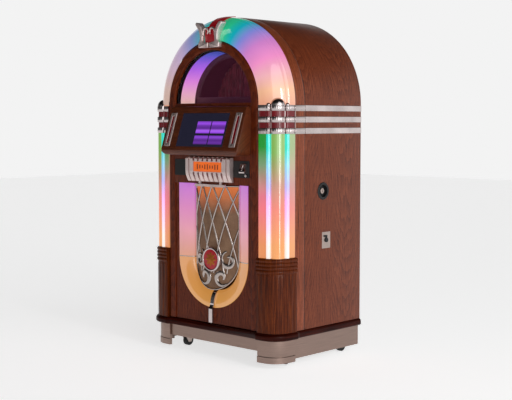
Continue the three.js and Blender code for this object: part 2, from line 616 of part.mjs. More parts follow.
const SELECTOR_BACK = PLATE_Y[0] - GAP;
const makeSelector = () => {
  const [low, high] = SELECTOR_Z;
  const front = SELECTOR_FRONT;
  const body = sidePlate([[SELECTOR_BACK, low], [SELECTOR_BACK - 7, low], [front + 9, low + 14],
    [front + 2, low + 30], [front, low + 46], [front, high - 7], [front + 7, high], [SELECTOR_BACK, high]],
  [-SELECTOR_HALF, SELECTOR_HALF]);
  const grooves = steps(-LIT_HALF, LIT_HALF, 6).flatMap((x) => [
    block([x - RIB_GROOVE, x + RIB_GROOVE], [front - 5, front + 9], [LIT_Z[1] + 4, high + 5]),
    sidePlate([[-60, LIT_Z[0] - 4], [front + 9, LIT_Z[0] - 4], [SELECTOR_BACK - 3, low - 1], [-60, low - 1]],
      [x - RIB_GROOVE, x + RIB_GROOVE]),
  ]);
  const line = LIT_HALF + RIB_PITCH;
  const sides = [-line, line].map((x) => sidePlate([[-60, high + 1], [front + 6, high + 1],
    [front + 6, low + 46], [SELECTOR_BACK - 3, low - 1], [-60, low - 1]], [x - 3.5, x + 3.5]));
  const opening = block(
    [-LIT_HALF - 1, LIT_HALF + 1],
    [front - 5, SELECTOR_BACK + 1],
    [LIT_Z[0] - 1, LIT_Z[1] + 1],
  );
  const railBack = SELECTOR_BACK - 0.9;
  const rail = block([-RAIL_HALF, RAIL_HALF], [railBack - 9, railBack], [U_TOP - RAIL_H, U_TOP]);
  const posts = [-POST_X, POST_X].map((x) => (
    block([x - 6, x + 6], [railBack - 6, railBack], [U_TOP - 2, low + 2])
  ));
  return joined([cut(body, [...grooves, ...sides, opening]), rail, ...posts]);
};

const makeSelectorWindow = () => block([-LIT_HALF, LIT_HALF], [SELECTOR_FRONT + 2, SELECTOR_BACK], LIT_Z);

const makeCoinEntry = () => {
  const [low, high] = COIN_Z;
  const slot = (COIN_X[0] + COIN_X[1]) / 2;
  const nose = [[SELECTOR_BACK, low], [-33, low], [-35, low + 6], [-20, high], [SELECTOR_BACK, high]];
  return sidePlate(nose, COIN_X).subtract(block([slot - 2.5, slot + 2.5], [-60, -22], [low + 9, high - 7]));
};

const makeRejectButton = () => rod('y', REJECT_R, [REJECT[0], PLATE_Y[0] - 8, REJECT[1]], 15, 16);

/** Front line of the U lens: distance from the U centre line, y. */
const U_WIDE = U_R_OUT - U_R_IN;
const uLine = (phi, inset) => [
  U_R_OUT - (U_WIDE - inset) * sin(phi),
  U_FRONT + U_DEPTH - (U_DEPTH - inset) * cos(phi),
];
const onU = (top) => (u, v, a) => {
  if (a < 180) return [-u, v, top];
  if (a > 360) return [u, v, top];
  return [u * cos(a), v, U_CENTRE_Z + u * sin(a)];
};
const uStations = [179, ...steps(180, 360, ARCH_STEPS), 361];

const makeULens = () => swept([
  ...steps(0, 90, 8).map((p) => uLine(p, 0)),
  ...steps(90, 0, 6).map((p) => uLine(p, SKIN_T)),
], uStations, onU(U_TOP));

const makeTrim = () => {
  const line = steps(3, 84, 7).map((p) => uLine(p, 0)).map(([r, y]) => [y - 2, U_CENTRE_Z - r]);
  const over = sidePlate([...line, ...line.map(([y, z]) => [y - 5, z]).reverse()], [-TRIM_HALF, TRIM_HALF]);
  const back = PANEL_FRONT - GAP;
  const meet = U_CENTRE_Z - U_R_OUT; // the lens's lowest point
  const foot = sidePlate([[back, MOULDING_TOP + 8], [-20, MOULDING_TOP + 8], [-20, meet - 4], [-14, meet + 7],
    [-9.5, meet + 14], [back - 1.2, meet + 14], [back - 1.2, meet - 2], [back, meet - 4]],
  [-TRIM_HALF, TRIM_HALF]);
  return over.add(foot);
};

/** Round wire bent along points in x, z on the bowed grille. */
function wire(points, radius) {
  const at = points.map(([x, z]) => new THREE.Vector3(x, bow(x), z));
  const depth = new THREE.Vector3(0, 1, 0);
  const frames = at.map((p, i) => {
    const along = at[Math.min(i + 1, at.length - 1)].clone().sub(at[Math.max(i - 1, 0)]);
    return { p, side: along.cross(depth).normalize() };
  });
  const section = arc(0, 0, radius, 0, 288, 4);
  return swept(section, frames, (u, v, { p, side }) => (
    [p.x + side.x * u, p.y + side.y * u + v, p.z + side.z * u]
  ));
}

const ROD_PITCH = 72;
const ROD_SPAN = 2 * GRILLE_R + 20; // top places of the rods that lean right start 80 outside the left edge
const RODS = steps(-GRILLE_R - 80, GRILLE_R - 60, Math.round(ROD_SPAN / ROD_PITCH));
const ROD_FOOT = U_CENTRE_Z - 58;
const GRILLE_TOP = U_TOP - 6;
const insideGrille = ([x, z]) => Math.hypot(x, Math.min(z - U_CENTRE_Z, 0)) < GRILLE_R + 1;

const makeGrille = () => {
  const drop = (z) => (GRILLE_TOP - z) / (GRILLE_TOP - ROD_FOOT);
  const lean = (x0, z) => x0 + 195 * drop(z) - 60.84 * drop(z) ** 2;
  const rods = RODS.map((x0) => steps(GRILLE_TOP, ROD_FOOT, 40).map((z) => [lean(x0, z), z])
    .filter(insideGrille)
    .filter((_, i, list) => i % 7 === 0 || i === list.length - 1));
  const spiral = (cx, cz, r0, r1, from, to) => steps(0, 1, 17).map((k) => {
    const r = r0 + (r1 - r0) * k;
    const a = from + (to - from) * k;
    return [cx + r * cos(a), cz + r * sin(a)];
  });
  const low = GRILLE_R - 41.35; // the lower scroll's centre from the badge's, so that it meets the rim
  const half = [
    ...rods.map((points) => wire(points, ROD_R)),
    wire(spiral(GRILLE_R - 48, U_CENTRE_Z + 2, 40, 14, 100, 470), SCROLL_R),
    wire(spiral(low * cos(-57.34), U_CENTRE_Z + low * sin(-57.34), 37, 12, -40, -400), SCROLL_R),
  ];
  const rim = uOutline(GRILLE_R, GRILLE_TOP);
  const bar = steps(-GRILLE_R, GRILLE_R, 12).map((x) => [x, GRILLE_TOP]);
  return joined([...half, ...half.map(mirrored), wire(rim, 4), wire(bar, 5)]);
};

const makeSpeakerBoard = () => {
  const xs = steps(-GRILLE_R + 4, GRILLE_R - 4, 16);
  const sheet = planPlate([...xs.map((x) => [x, bow(x) + 6]), ...xs.map((x) => [x, bow(x) + 10]).reverse()],
    [U_CENTRE_Z - GRILLE_R, GRILLE_TOP]);
  return sheet.intersect(frontPlate(uOutline(GRILLE_R - 4, GRILLE_TOP), [-40, 80]));
};

const makeWoofer = () => turned('y', [[0, 30], [40, 30], [112, 4], [124, 4], [124, 10], [116, 12], [72, 58],
  [54, 62], [54, 90], [0, 90]], [0, 38, (U_CENTRE_Z + GRILLE_TOP) / 2], 24);

const makeBadge = () => turned('y', [[0, 3], [45, 3], [47, 0], [52, 0], [BADGE_R, 3], [BADGE_R, 11], [0, 11]],
  [0, -19.5, U_CENTRE_Z + 2], 32);

const makeCrest = () => {
  const foot = SPRING_Z + FRAME_R + 10;
  const half = [[4, 0], [62, 0], [64, 22], [52, 26], [49, 46], [57, 74], [83, 113], [80, 121], [66, 120],
    [46, 88], [38, 70], [33, 82], [24, 90], [10, 90], [8, 84], [20, 82], [26, 70], [27, 44], [24, 26], [4, 22]]
    .map(([x, z]) => [x, foot + z]);
  const leaf = frontPlate(half, [-30, 4]);
  const bridge = block([-12, 12], [-18, DOOR_FRONT - GAP], [foot + 14, foot + 22]);
  const door = frontPlate(archOutline(DOOR_HALF + 1, SPRING_Z), [DOOR_FRONT - GAP, DOOR_BACK + 1]);
  return cut(joined([leaf, mirrored(leaf), bridge]), [door, archFill(SADDLE_OUT[1] + 1)]);
};

// ---------------------------------------------------------------- assembly
const material = (color, roughness, metalness = 0) => (
  new THREE.MeshStandardMaterial({ color, roughness, metalness })
);
const WOOD = material(0x6b3a20, 0.45);
const DARK_WOOD = material(0x3a1c10, 0.5);
const STEEL = material(0xb9aea0, 0.4, 0.9);
const CHROME = material(0xd8d8dc, 0.12, 1);
const BLACK = material(0x151517, 0.5);
const RUBBER = material(0x1b1b1c, 0.8);
const RED = material(0x8c1018, 0.3);
const LIT = material(0xf0b0d8, 0.3);
const AMBER = material(0xe07818, 0.4);
const GLASS = material(0x9fb4c0, 0.05);
const CLOTH = material(0x6a4a2c, 0.9);
const SCREEN = material(0x252a3c, 0.15);

const pieces = [];
const add = (name, body, look) => pieces.push({ name, body, look });
const addPair = (name, body, look) => {
  add(`${name}_right`, body, look);
  add(`${name}_left`, mirrored(body), look);
};

add('cabinet_shell', makeShell(), WOOD);
add('front_bead', makeBead(), WOOD);
add('back_panel', makeBack(), DARK_WOOD);
add('base_frame', makeBaseFrame(), DARK_WOOD);
add('base_moulding', makeMoulding(), DARK_WOOD);
add('kick_front', makeFrontKick(), STEEL);
addPair('kick_side', makeSideKick(), STEEL);
addPair('corner_casting', makeCornerCasting(), STEEL);
addPair('pilaster_socket', makeSocket(), WOOD);
addPair('pilaster_lens', makePilasterLens(), LIT);
addPair('pilaster_tubes', makeTubes(0), LIT);
addPair('band_sleeve', makeSleeve(), RED);
addPair('band_casting', makeBands(), CHROME);
add('arch_lens', makeArchLens(), LIT);
add('crest_saddle', makeSaddle(), RED);
['low', 'mid', 'top'].forEach((level, i) => addPair(`side_strip_${level}`, makeStrip(i), CHROME));
add('lock_cup', makeLockCup(), BLACK);
add('lock_barrel', makeLockBarrel(), STEEL);
add('dial_plate', makeDialPlate(), STEEL);
add('dial_knob', makeDialKnob(), BLACK);
add('display_tunnel', makeTunnel(), DARK_WOOD);
add('curtain', makeCurtain(), CLOTH);

const CORNER_NAMES = [['front', CASTER_Y[0]], ['rear', CASTER_Y[1]]];
for (const [end, y] of CORNER_NAMES) {
  for (const [side, x] of [['right', CASTER_X], ['left', -CASTER_X]]) {
    add(`caster_fork_${end}_${side}`, makeFork().translate([x, y, 0]), STEEL);
    add(`caster_wheel_${end}_${side}`, makeWheel().translate([x, y, 0]), RUBBER);
  }
}

add('door_frame', makeDoorFrame(), WOOD);
add('window_glass', makeGlass(), GLASS);
add('console_housing', makeConsole(), WOOD);
add('touch_screen', makeScreen(), SCREEN);
addPair('console_bar', makeConsoleBar(), STEEL);
add('service_plate', makeServicePlate(), BLACK);
add('selector_casting', makeSelector(), CHROME);
add('selector_window', makeSelectorWindow(), AMBER);
add('coin_entry', makeCoinEntry(), CHROME);
add('reject_button', makeRejectButton(), CHROME);
add('u_lens', makeULens(), LIT);
add('centre_trim', makeTrim(), CHROME);
add('grille_lattice', makeGrille(), CHROME);
add('speaker_board', makeSpeakerBoard(), CLOTH);
add('woofer', makeWoofer(), BLACK);
add('badge', makeBadge(), RED);
add('crest_casting', makeCrest(), CHROME);

/** Moves everything so the origin is the centre of the footprint, on the floor. */
const bounds = pieces.map(({ body }) => body.boundingBox());
const low = [0, 1].map((k) => Math.min(...bounds.map((b) => b.min[k])));
const high = [0, 1].map((k) => Math.max(...bounds.map((b) => b.max[k])));
const shift = [-(low[0] + high[0]) / 2, -(low[1] + high[1]) / 2, 0];

const group = new THREE.Group();
for (const { name, body, look } of pieces) {
  const { vertProperties, triVerts } = body.translate(shift).getMesh();
  const geometry = new THREE.BufferGeometry();
  geometry.setAttribute('position', new THREE.BufferAttribute(new Float32Array(vertProperties), 3));
  geometry.setIndex(new THREE.BufferAttribute(new Uint32Array(triVerts), 1));
  geometry.computeVertexNormals();
  const mesh = new THREE.Mesh(geometry, look);
  mesh.name = name;
  group.add(mesh);
}

export default group;
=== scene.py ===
"""Looks of the arch-topped jukebox: smooth wooden cabinet, lit plastics, chrome and grille on the CAD frame."""

import math

import bpy
import numpy as np
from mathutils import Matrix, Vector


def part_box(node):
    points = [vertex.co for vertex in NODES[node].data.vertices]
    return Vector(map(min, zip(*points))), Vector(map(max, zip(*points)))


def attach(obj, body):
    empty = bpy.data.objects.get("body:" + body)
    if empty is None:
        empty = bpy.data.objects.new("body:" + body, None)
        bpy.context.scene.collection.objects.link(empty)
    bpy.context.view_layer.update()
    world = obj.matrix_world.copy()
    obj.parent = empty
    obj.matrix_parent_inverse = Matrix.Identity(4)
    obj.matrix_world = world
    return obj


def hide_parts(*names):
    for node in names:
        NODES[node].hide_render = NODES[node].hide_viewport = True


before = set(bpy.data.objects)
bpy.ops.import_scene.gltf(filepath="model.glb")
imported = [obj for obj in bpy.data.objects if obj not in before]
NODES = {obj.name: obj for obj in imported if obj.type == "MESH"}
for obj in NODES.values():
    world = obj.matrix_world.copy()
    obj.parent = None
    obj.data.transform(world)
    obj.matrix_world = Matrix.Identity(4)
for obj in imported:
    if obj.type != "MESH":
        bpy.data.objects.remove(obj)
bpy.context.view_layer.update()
MM = 0.001
GAP = 0.3 * MM


# ---------------------------------------------------------------- sizes read from the frame
def span(node):
    """Lowest and highest corner of a CAD node as two numpy rows."""
    low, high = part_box(node)
    return np.array(low), np.array(high)


SHELL_LOW, SHELL_HIGH = span("cabinet_shell")
HALF = SHELL_HIGH[0]
SPRING = SHELL_HIGH[2] - HALF
FOOT = SHELL_LOW[2]
BEAD_LOW, BEAD_HIGH = span("front_bead")
LENS_LOW, LENS_HIGH = span("pilaster_lens_right")
CORNER_X, CORNER_Y = LENS_LOW[0], LENS_HIGH[1]
CORNER_RX, CORNER_RY = LENS_HIGH[0] - CORNER_X, CORNER_Y - LENS_LOW[1]
DOOR_LOW, DOOR_HIGH = span("door_frame")
GLASS_LOW, GLASS_HIGH = span("window_glass")
FRAME_R = GLASS_HIGH[0] + GAP
SILL = GLASS_LOW[2] - GAP
U_LOW, U_HIGH = span("u_lens")
U_OUT = U_HIGH[0]
U_IN = U_OUT - 78 * MM
U_CENTRE = U_LOW[2] + U_OUT
TUNNEL_LOW, TUNNEL_HIGH = span("display_tunnel")
LOBE_T, LOBE_SPAN, LOBE_OUT = math.radians(47.5), math.radians(15), 24 * MM
TUBE_T = LOBE_T + np.radians([-21, 21])
SHOE_OUT = -9 * MM
TUBE_SPAN, TUBE_R, TUBE_OUT = math.radians(5.4), 10 * MM, 1 * MM
PILLAR_OUT, PILLAR_POWER = 12 * MM, 0.68
RIGHT, LEFT = 1, -1


# ---------------------------------------------------------------- mesh making
def build(name, verts, faces, body, material, uv=None, replaces=(), sharp=38):
    """Mesh from whole arrays, turned outward by its signed volume, shaded smooth up to the sharp angle."""
    verts = np.asarray(verts, float)
    mesh = bpy.data.meshes.new(name)
    mesh.from_pydata(verts.tolist(), [], faces)
    if uv is not None:
        layer = mesh.uv_layers.new(name="grain")
        layer.data.foreach_set("uv", np.asarray(uv, np.float32).ravel())
    mesh.validate()
    mesh.update()
    corners = np.zeros(len(mesh.vertices) * 3)
    mesh.vertices.foreach_get("co", corners)
    corners = corners.reshape(-1, 3)
    mesh.calc_loop_triangles()
    tris = np.zeros(len(mesh.loop_triangles) * 3, int)
    mesh.loop_triangles.foreach_get("vertices", tris)
    a, b, c = (corners[tris.reshape(-1, 3)[:, k]] for k in range(3))
    if np.einsum("ij,ij->i", a, np.cross(b, c)).sum() < 0:
        mesh.flip_normals()
    mesh.polygons.foreach_set("use_smooth", np.ones(len(mesh.polygons), bool))
    mesh.set_sharp_from_angle(angle=math.radians(sharp))
    obj = bpy.data.objects.new(name, mesh)
    bpy.context.scene.collection.objects.link(obj)
    obj.data.materials.append(material)
    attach(obj, body)
    if replaces:
        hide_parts(*replaces)
    return obj


def lengths(points):
    """Running length along a row of points, starting at 0."""
    return np.concatenate([[0], np.cumsum(np.linalg.norm(np.diff(points, axis=0), axis=1))])


def ring_faces(stations, n, closed=False):
    """Quads between equal rings of n points, and the two end caps unless the stations close on themselves."""
    s, i = np.meshgrid(np.arange(stations if closed else stations - 1), np.arange(n), indexing="ij")
    j, on = (i + 1) % n, (s + 1) % stations
    quads = np.stack([s * n + i, s * n + j, on * n + j, on * n + i], -1).reshape(-1, 4)
    caps = [] if closed else [np.arange(n)[::-1], np.arange(n) + (stations - 1) * n]
    return s, i, quads, caps


def loft(name, rings, body, material, replaces=(), sharp=38, closed=False):
    """Closed solid through equal rings of points (stations x points x 3), capped at both ends unless closed.

    The grain map holds metres: along the stations and around the ring."""
    rings = np.asarray(rings, float)
    stations, n = rings.shape[:2]
    s, i, quads, caps = ring_faces(stations, n, closed)
    around = lengths(np.vstack([rings[stations // 2], rings[stations // 2][:1]]))
    along = lengths(np.vstack([rings, rings[:1]]).mean(axis=1))
    su = np.stack([along[s], along[s], along[s + 1], along[s + 1]], -1)
    tv = np.stack([around[i], around[i + 1], around[i + 1], around[i]], -1)
    uv = np.stack([su, tv], -1).reshape(-1, 2)
    for cap in caps:
        uv = np.vstack([uv, np.stack([np.full(n, along[cap[0] // n]), around[cap % n]], -1)])
    return build(name, rings.reshape(-1, 3), quads.tolist() + [cap.tolist() for cap in caps], body, material, uv,
                 replaces, sharp)


def grid(name, points, body, material, replaces=(), thick=0.0, sharp=60):
    """Open sheet over a grid of points (rows x columns x 3); thick gives it a solid wall behind."""
    points = np.asarray(points, float)
    rows, cols = points.shape[:2]
    r, c = np.meshgrid(np.arange(rows - 1), np.arange(cols - 1), indexing="ij")
    quads = np.stack([r * cols + c, r * cols + c + 1, (r + 1) * cols + c + 1, (r + 1) * cols + c], -1).reshape(-1, 4)
    u = lengths(points[rows // 2])
    v = lengths(points[:, cols // 2])
    uv = np.stack([np.stack([u[c], u[c + 1], u[c + 1], u[c]], -1), np.stack([v[r], v[r], v[r + 1], v[r + 1]], -1)], -1)
    obj = build(name, points.reshape(-1, 3), quads.tolist(), body, material, uv.reshape(-1, 2), replaces, sharp)
    if thick:
        wall = obj.modifiers.new("wall", "SOLIDIFY")
        wall.thickness = thick
        wall.offset = -1
    return obj


def rounded(poly, radius, steps=4):
    """Polygon with each corner replaced by a quadratic curve that starts a radius before it and ends a radius after."""
    poly = np.asarray(poly, float)
    back = np.roll(poly, 1, 0) - poly
    on = np.roll(poly, -1, 0) - poly
    back_len = np.linalg.norm(back, axis=1, keepdims=True)
    on_len = np.linalg.norm(on, axis=1, keepdims=True)
    reach = np.minimum(np.broadcast_to(np.asarray(radius, float).reshape(-1, 1), back_len.shape),
                       0.48 * np.minimum(back_len, on_len))
    t = np.linspace(0, 1, steps + 1)[None, :, None]
    start, end = (poly + back / back_len * reach)[:, None], (poly + on / on_len * reach)[:, None]
    curve = (1 - t) ** 2 * start + 2 * t * (1 - t) * poly[:, None] + t ** 2 * end
    return curve.reshape(-1, 2)


def inset(poly, amount):
    """Closed outline moved inward by an amount along the mean normal of its neighbouring edges."""
    edge = np.roll(poly, -1, 0) - poly
    normal = np.stack([edge[:, 1], -edge[:, 0]], 1) / np.linalg.norm(edge, axis=1, keepdims=True)
    before = np.roll(normal, 1, 0)
    mean = normal + before
    mean /= np.maximum((mean * normal).sum(1, keepdims=True), 0.2)
    area = 0.5 * np.sum(poly[:, 0] * np.roll(poly[:, 1], -1) - np.roll(poly[:, 0], -1) * poly[:, 1])
    return poly - mean * amount * np.sign(area)


PLANES = {"front": (0, 2, 1), "plan": (0, 1, 2), "side": (1, 2, 0)}


def slab(name, poly, span_, bevel, body, material, plane="front", replaces=(), steps=3, sharp=38):
    """Board with softened edges: its outline is inset along a quarter circle near both faces."""
    poly = np.asarray(poly, float)
    angle = np.linspace(0, math.pi / 2, steps + 1)
    ins = bevel * (1 - np.sin(angle))
    dep = bevel * (1 - np.cos(angle))
    low, high = span_
    levels = np.concatenate([low + dep, high - dep[::-1]])
    insets = np.concatenate([ins, ins[::-1]])
    a, b, c = PLANES[plane]
    rings = np.zeros((len(levels), len(poly), 3))
    for k, (level, amount) in enumerate(zip(levels, insets)):
        outline = inset(poly, amount)
        rings[k, :, a], rings[k, :, b], rings[k, :, c] = outline[:, 0], outline[:, 1], level
    obj = loft(name, rings, body, material, replaces, sharp)
    if plane == "front":
        flat_map(obj, 2, 0)
    return obj


def flat_map(obj, along, across):
    """Grain map taken straight from two coordinates, for flat boards: along the grain, then across it."""
    mesh = obj.data
    index = np.zeros(len(mesh.loops), int)
    mesh.loops.foreach_get("vertex_index", index)
    points = np.zeros(len(mesh.vertices) * 3)
    mesh.vertices.foreach_get("co", points)
    points = points.reshape(-1, 3)[index]
    uv = np.stack([points[:, along], points[:, across]], 1)
    mesh.uv_layers["grain"].data.foreach_set("uv", uv.astype(np.float32).ravel())


def turned(name, profile, centre, body, material, replaces=(), sides=96, ring=False):
    """Piece turned about Y: profile rows of (radius, depth); a ring's profile closes on itself."""
    profile = np.asarray(profile, float)
    around = np.linspace(0, 2 * math.pi, sides, endpoint=False)
    radius, depth = profile[:, 0][:, None], profile[:, 1][:, None]
    rings = np.stack([radius * np.cos(around), depth + 0 * around, radius * np.sin(around)], -1) + np.asarray(centre)
    return loft(name, rings, body, material, replaces, closed=ring)


def mirror(points, side):
    """Points reflected to the left side when side is -1."""
    return points * np.array([side, 1, 1])


# ---------------------------------------------------------------- curves of the cabinet
def corner(t, out):
    """Front corner: quarter ellipse from beside the door (t 0) to beside the bead (t 90 degrees), grown by out."""
    return np.stack([CORNER_X + (CORNER_RX + out) * np.sin(t), CORNER_Y - (CORNER_RY + out) * np.cos(t)], -1)


def pillar(t, out):
    """Fuller outline of the wooden pillar under the lens: an ellipse whose sine and cosine are raised to a power."""
    return np.stack([CORNER_X + (CORNER_RX + PILLAR_OUT + out) * np.clip(np.sin(t), 0, 1) ** PILLAR_POWER,
                     CORNER_Y - (CORNER_RY + PILLAR_OUT + out) * np.clip(np.cos(t), 0, 1) ** PILLAR_POWER], -1)


def even(start, end, count, out=0):
    """Angles that give even steps along the pillar's outline."""
    t = np.linspace(start, end, 2000)
    run = lengths(pillar(t, out))
    return np.interp(np.linspace(0, run[-1], count), run, t)


def lobe(t):
    """Half-ellipse bulge of the pilaster's middle."""
    s = (t - LOBE_T) / LOBE_SPAN
    return LOBE_OUT * np.sqrt(np.clip(1 - s * s, 0, None))


def tube_bump(t):
    """Half-ellipse bulges where the chrome bands pass over the two tubes."""
    s = (np.asarray(t)[..., None] - TUBE_T) / TUBE_SPAN
    return ((TUBE_R + TUBE_OUT) * np.sqrt(np.clip(1 - s * s, 0, None))).max(-1)


def arch_rings(profile, foot, count=120):
    """Profile of (radius, y) carried up the right side, round the half circle and down the left side."""
    profile = np.asarray(profile, float)
    angle = np.linspace(0, math.pi, count)
    r, y = profile[:, 0], profile[:, 1]
    arc = np.stack([np.cos(angle)[:, None] * r, np.broadcast_to(y, (count, len(y))),
                    SPRING + np.sin(angle)[:, None] * r], -1)
    legs = np.linspace(foot, SPRING, 3)[:-1]
    right = np.stack([np.broadcast_to(r, (2, len(r))), np.broadcast_to(y, (2, len(y))),
                      np.broadcast_to(legs[:, None], (2, len(r)))], -1)
    left = (right * np.array([-1, 1, 1]))[::-1]
    return np.concatenate([right, arc, left])


def u_rings(profile, top, count=90):
    """Profile of (radius, y) carried down the left leg, round the half circle below and up the right leg."""
    profile = np.asarray(profile, float)
    angle = np.linspace(math.pi, 2 * math.pi, count)
    r, y = profile[:, 0], profile[:, 1]
    arc = np.stack([np.cos(angle)[:, None] * r, np.broadcast_to(y, (count, len(y))),
                    U_CENTRE + np.sin(angle)[:, None] * r], -1)
    legs = np.linspace(U_CENTRE, top, 12)[1:]
    right = np.stack([np.broadcast_to(r, (len(legs), len(r))), np.broadcast_to(y, (len(legs), len(y))),
                      np.broadcast_to(legs[:, None], (len(legs), len(r)))], -1)
    left = (right * np.array([-1, 1, 1]))[::-1]
    return np.concatenate([left, arc, right])


def footprint(out, back):
    """Outline of the cabinet seen from above, right side round the front to the left side."""
    ease = PILLAR_OUT + 2 * MM
    side = CORNER_X + CORNER_RX + out
    swell = pillar(even(math.pi / 2, 0, 40), out)
    right = np.vstack([[side, back], [side, CORNER_Y + ease + 12 * MM], [side, CORNER_Y + ease], swell,
                       [CORNER_X - ease, CORNER_Y - CORNER_RY - out]])
    return np.vstack([right, (right * [-1, 1])[::-1]])


U_DEPTH = U_HIGH[1] - U_LOW[1]
BOW_CENTRE = U_LOW[1]
BOW_R = (U_IN ** 2 + U_DEPTH ** 2) / (2 * U_DEPTH)


def bow(x):
    """Forward bow of the grille: a circular arc through the lens's inner edges and its front."""
    return BOW_CENTRE + BOW_R - np.sqrt(BOW_R ** 2 - np.asarray(x) ** 2)


def wire_rings(x, z, radius, sides=10, lift=0.0, flat=1.0):
    """Round wire along x, z points laid on the bowed grille: circles across the path's direction."""
    path = np.stack([x, bow(x) + lift, z], -1)
    along = np.gradient(path, axis=0)
    along /= np.linalg.norm(along, axis=1, keepdims=True)
    side = np.cross(along, [0, 1, 0])
    side /= np.linalg.norm(side, axis=1, keepdims=True)
    up = np.cross(side, along)
    a = np.linspace(0, 2 * math.pi, sides, endpoint=False)
    round_ = np.cos(a)[None, :, None] * side[:, None] + flat * np.sin(a)[None, :, None] * up[:, None]
    return path[:, None] + radius * round_


def bundle(name, ring_sets, body, material, replaces=(), sharp=50):
    """Several lofts in one mesh, each closed by its own caps and turned outward by its own signed volume."""
    verts, faces, start = [], [], 0
    for rings in ring_sets:
        stations, n = rings.shape[:2]
        quads, caps = ring_faces(stations, n)[2:]
        flat = rings.reshape(-1, 3) - rings.reshape(-1, 3).mean(0)
        a, b, c, d = (flat[quads[:, k]] for k in range(4))
        volume = np.einsum("ij,ij->", a, np.cross(b, c)) + np.einsum("ij,ij->", a, np.cross(c, d))
        for cap in caps:
            fan = flat[cap]
            volume += np.einsum("j,ij->", fan[0], np.cross(fan[1:-1], fan[2:]))
        turn = -1 if volume < 0 else 1
        faces += [(face[::turn] + start).tolist() for face in [*quads, *caps]]
        verts.append(rings.reshape(-1, 3))
        start += stations * n
    return build(name, np.vstack(verts), faces, body, material, None, replaces, sharp)


# ---------------------------------------------------------------- materials
def hue(code):
    """Linear RGBA of an sRGB hex colour."""
    srgb = np.array([int(code[k:k + 2], 16) for k in (1, 3, 5)]) / 255
    linear = np.where(srgb <= 0.04045, srgb / 12.92, ((srgb + 0.055) / 1.055) ** 2.4)
    return (*linear.tolist(), 1.0)


def new_material(name):
    """Empty node material with its shader; returns the material, its tree and the shader."""
    material = bpy.data.materials.new(name)
    material.use_nodes = True
    return material, material.node_tree, material.node_tree.nodes["Principled BSDF"]


def add(tree, kind, links=None, **settings):
    """Adds a node: settings are its properties or its sockets' values, links are {input: output socket}."""
    node = tree.nodes.new(kind)
    for key, value in settings.items():
        if hasattr(node, key):
            setattr(node, key, value)
        else:
            node.inputs[key.replace("_", " ")].default_value = value
    for key, output in (links or {}).items():
        tree.links.new(output, node.inputs[key])
    return node


def ramp(tree, factor, stops, interpolation="LINEAR"):
    """Colour ramp through (place, hex) stops."""
    node = add(tree, "ShaderNodeValToRGB", {"Fac": factor})
    node.color_ramp.interpolation = interpolation
    while len(node.color_ramp.elements) < len(stops):
        node.color_ramp.elements.new(0.5)
    for element, (place, code) in zip(node.color_ramp.elements, stops):
        element.position = place
        element.color = hue(code)
    return node


def object_axis(tree, axis, low, high):
    """0 to 1 along one object coordinate between two places."""
    where = add(tree, "ShaderNodeTexCoord")
    parts = add(tree, "ShaderNodeSeparateXYZ", {"Vector": where.outputs["Object"]})
    return add(tree, "ShaderNodeMapRange", {"Value": parts.outputs[axis]}, From_Min=low, From_Max=high).outputs[0]


def veneer(name, dark, mid, light, gloss=0.36, board=0.3, figure=0.22, lacquer=0.18):
    """Plain-sawn oak veneer, stained and satin lacquered: each leaf shows nested cathedral arches of growth rings,
    crossed by fine open pores that run along the grain."""
    material, tree, shader = new_material(name)
    where = add(tree, "ShaderNodeUVMap", uv_map="grain").outputs[0]
    parts = add(tree, "ShaderNodeSeparateXYZ", {"Vector": where})

    def maths(operation, a, b):
        node = add(tree, "ShaderNodeMath", {0: a}, operation=operation)
        if isinstance(b, float):
            node.inputs[1].default_value = b
        else:
            tree.links.new(b, node.inputs[1])
        return node.outputs[0]

    def noise(scale, detail):
        at = add(tree, "ShaderNodeMapping", {"Vector": where})
        at.inputs["Scale"].default_value = scale
        return add(tree, "ShaderNodeTexNoise", {"Vector": at.outputs[0]}, Scale=1.0, Detail=detail).outputs["Fac"]

    offset = maths("PINGPONG", parts.outputs["Y"], board / 2)
    across = maths("MULTIPLY", maths("MULTIPLY", offset, offset), 420.0)  # arches narrow to 8 mm rings at the edges
    rise = maths("MULTIPLY", parts.outputs["X"], 15.0)  # an arch every 65 mm along the leaf's middle
    drift = maths("MULTIPLY", noise((1.6, 11.0, 11.0), 3.0), 7.0)
    rings = maths("FRACT", maths("ADD", maths("SUBTRACT", across, rise), drift), 0.0)
    fibre = noise((7.0, 260.0, 260.0), 3.0)  # fibre bundles about 4 mm wide
    pores = noise((60.0, 1300.0, 1300.0), 2.0)  # open pores about 0.8 mm by 16 mm
    tone = maths("ADD", maths("MULTIPLY", rings, figure), maths("MULTIPLY", fibre, 1.2 - figure))
    colour = ramp(tree, tone, [(0.38, dark), (0.6, mid), (0.82, light)])
    pore_mask = ramp(tree, pores, [(0.34, "#9a9a9a"), (0.46, "#ffffff")])
    mixed = add(tree, "ShaderNodeMix", {6: colour.outputs[0], 7: pore_mask.outputs[0]}, data_type="RGBA",
                blend_type="MULTIPLY")
    mixed.inputs[0].default_value = 1.0
    tree.links.new(mixed.outputs[2], shader.inputs["Base Color"])
    rough = add(tree, "ShaderNodeMapRange", {"Value": pores}, To_Min=gloss + 0.12, To_Max=gloss - 0.04)
    tree.links.new(rough.outputs[0], shader.inputs["Roughness"])
    bump = add(tree, "ShaderNodeBump", {"Height": pores}, Strength=0.1, Distance=0.0003)
    tree.links.new(bump.outputs[0], shader.inputs["Normal"])
    shader.inputs["Specular IOR Level"].default_value = lacquer
    shader.inputs["Coat Weight"].default_value = lacquer
    shader.inputs["Coat Roughness"].default_value = 0.16
    return material


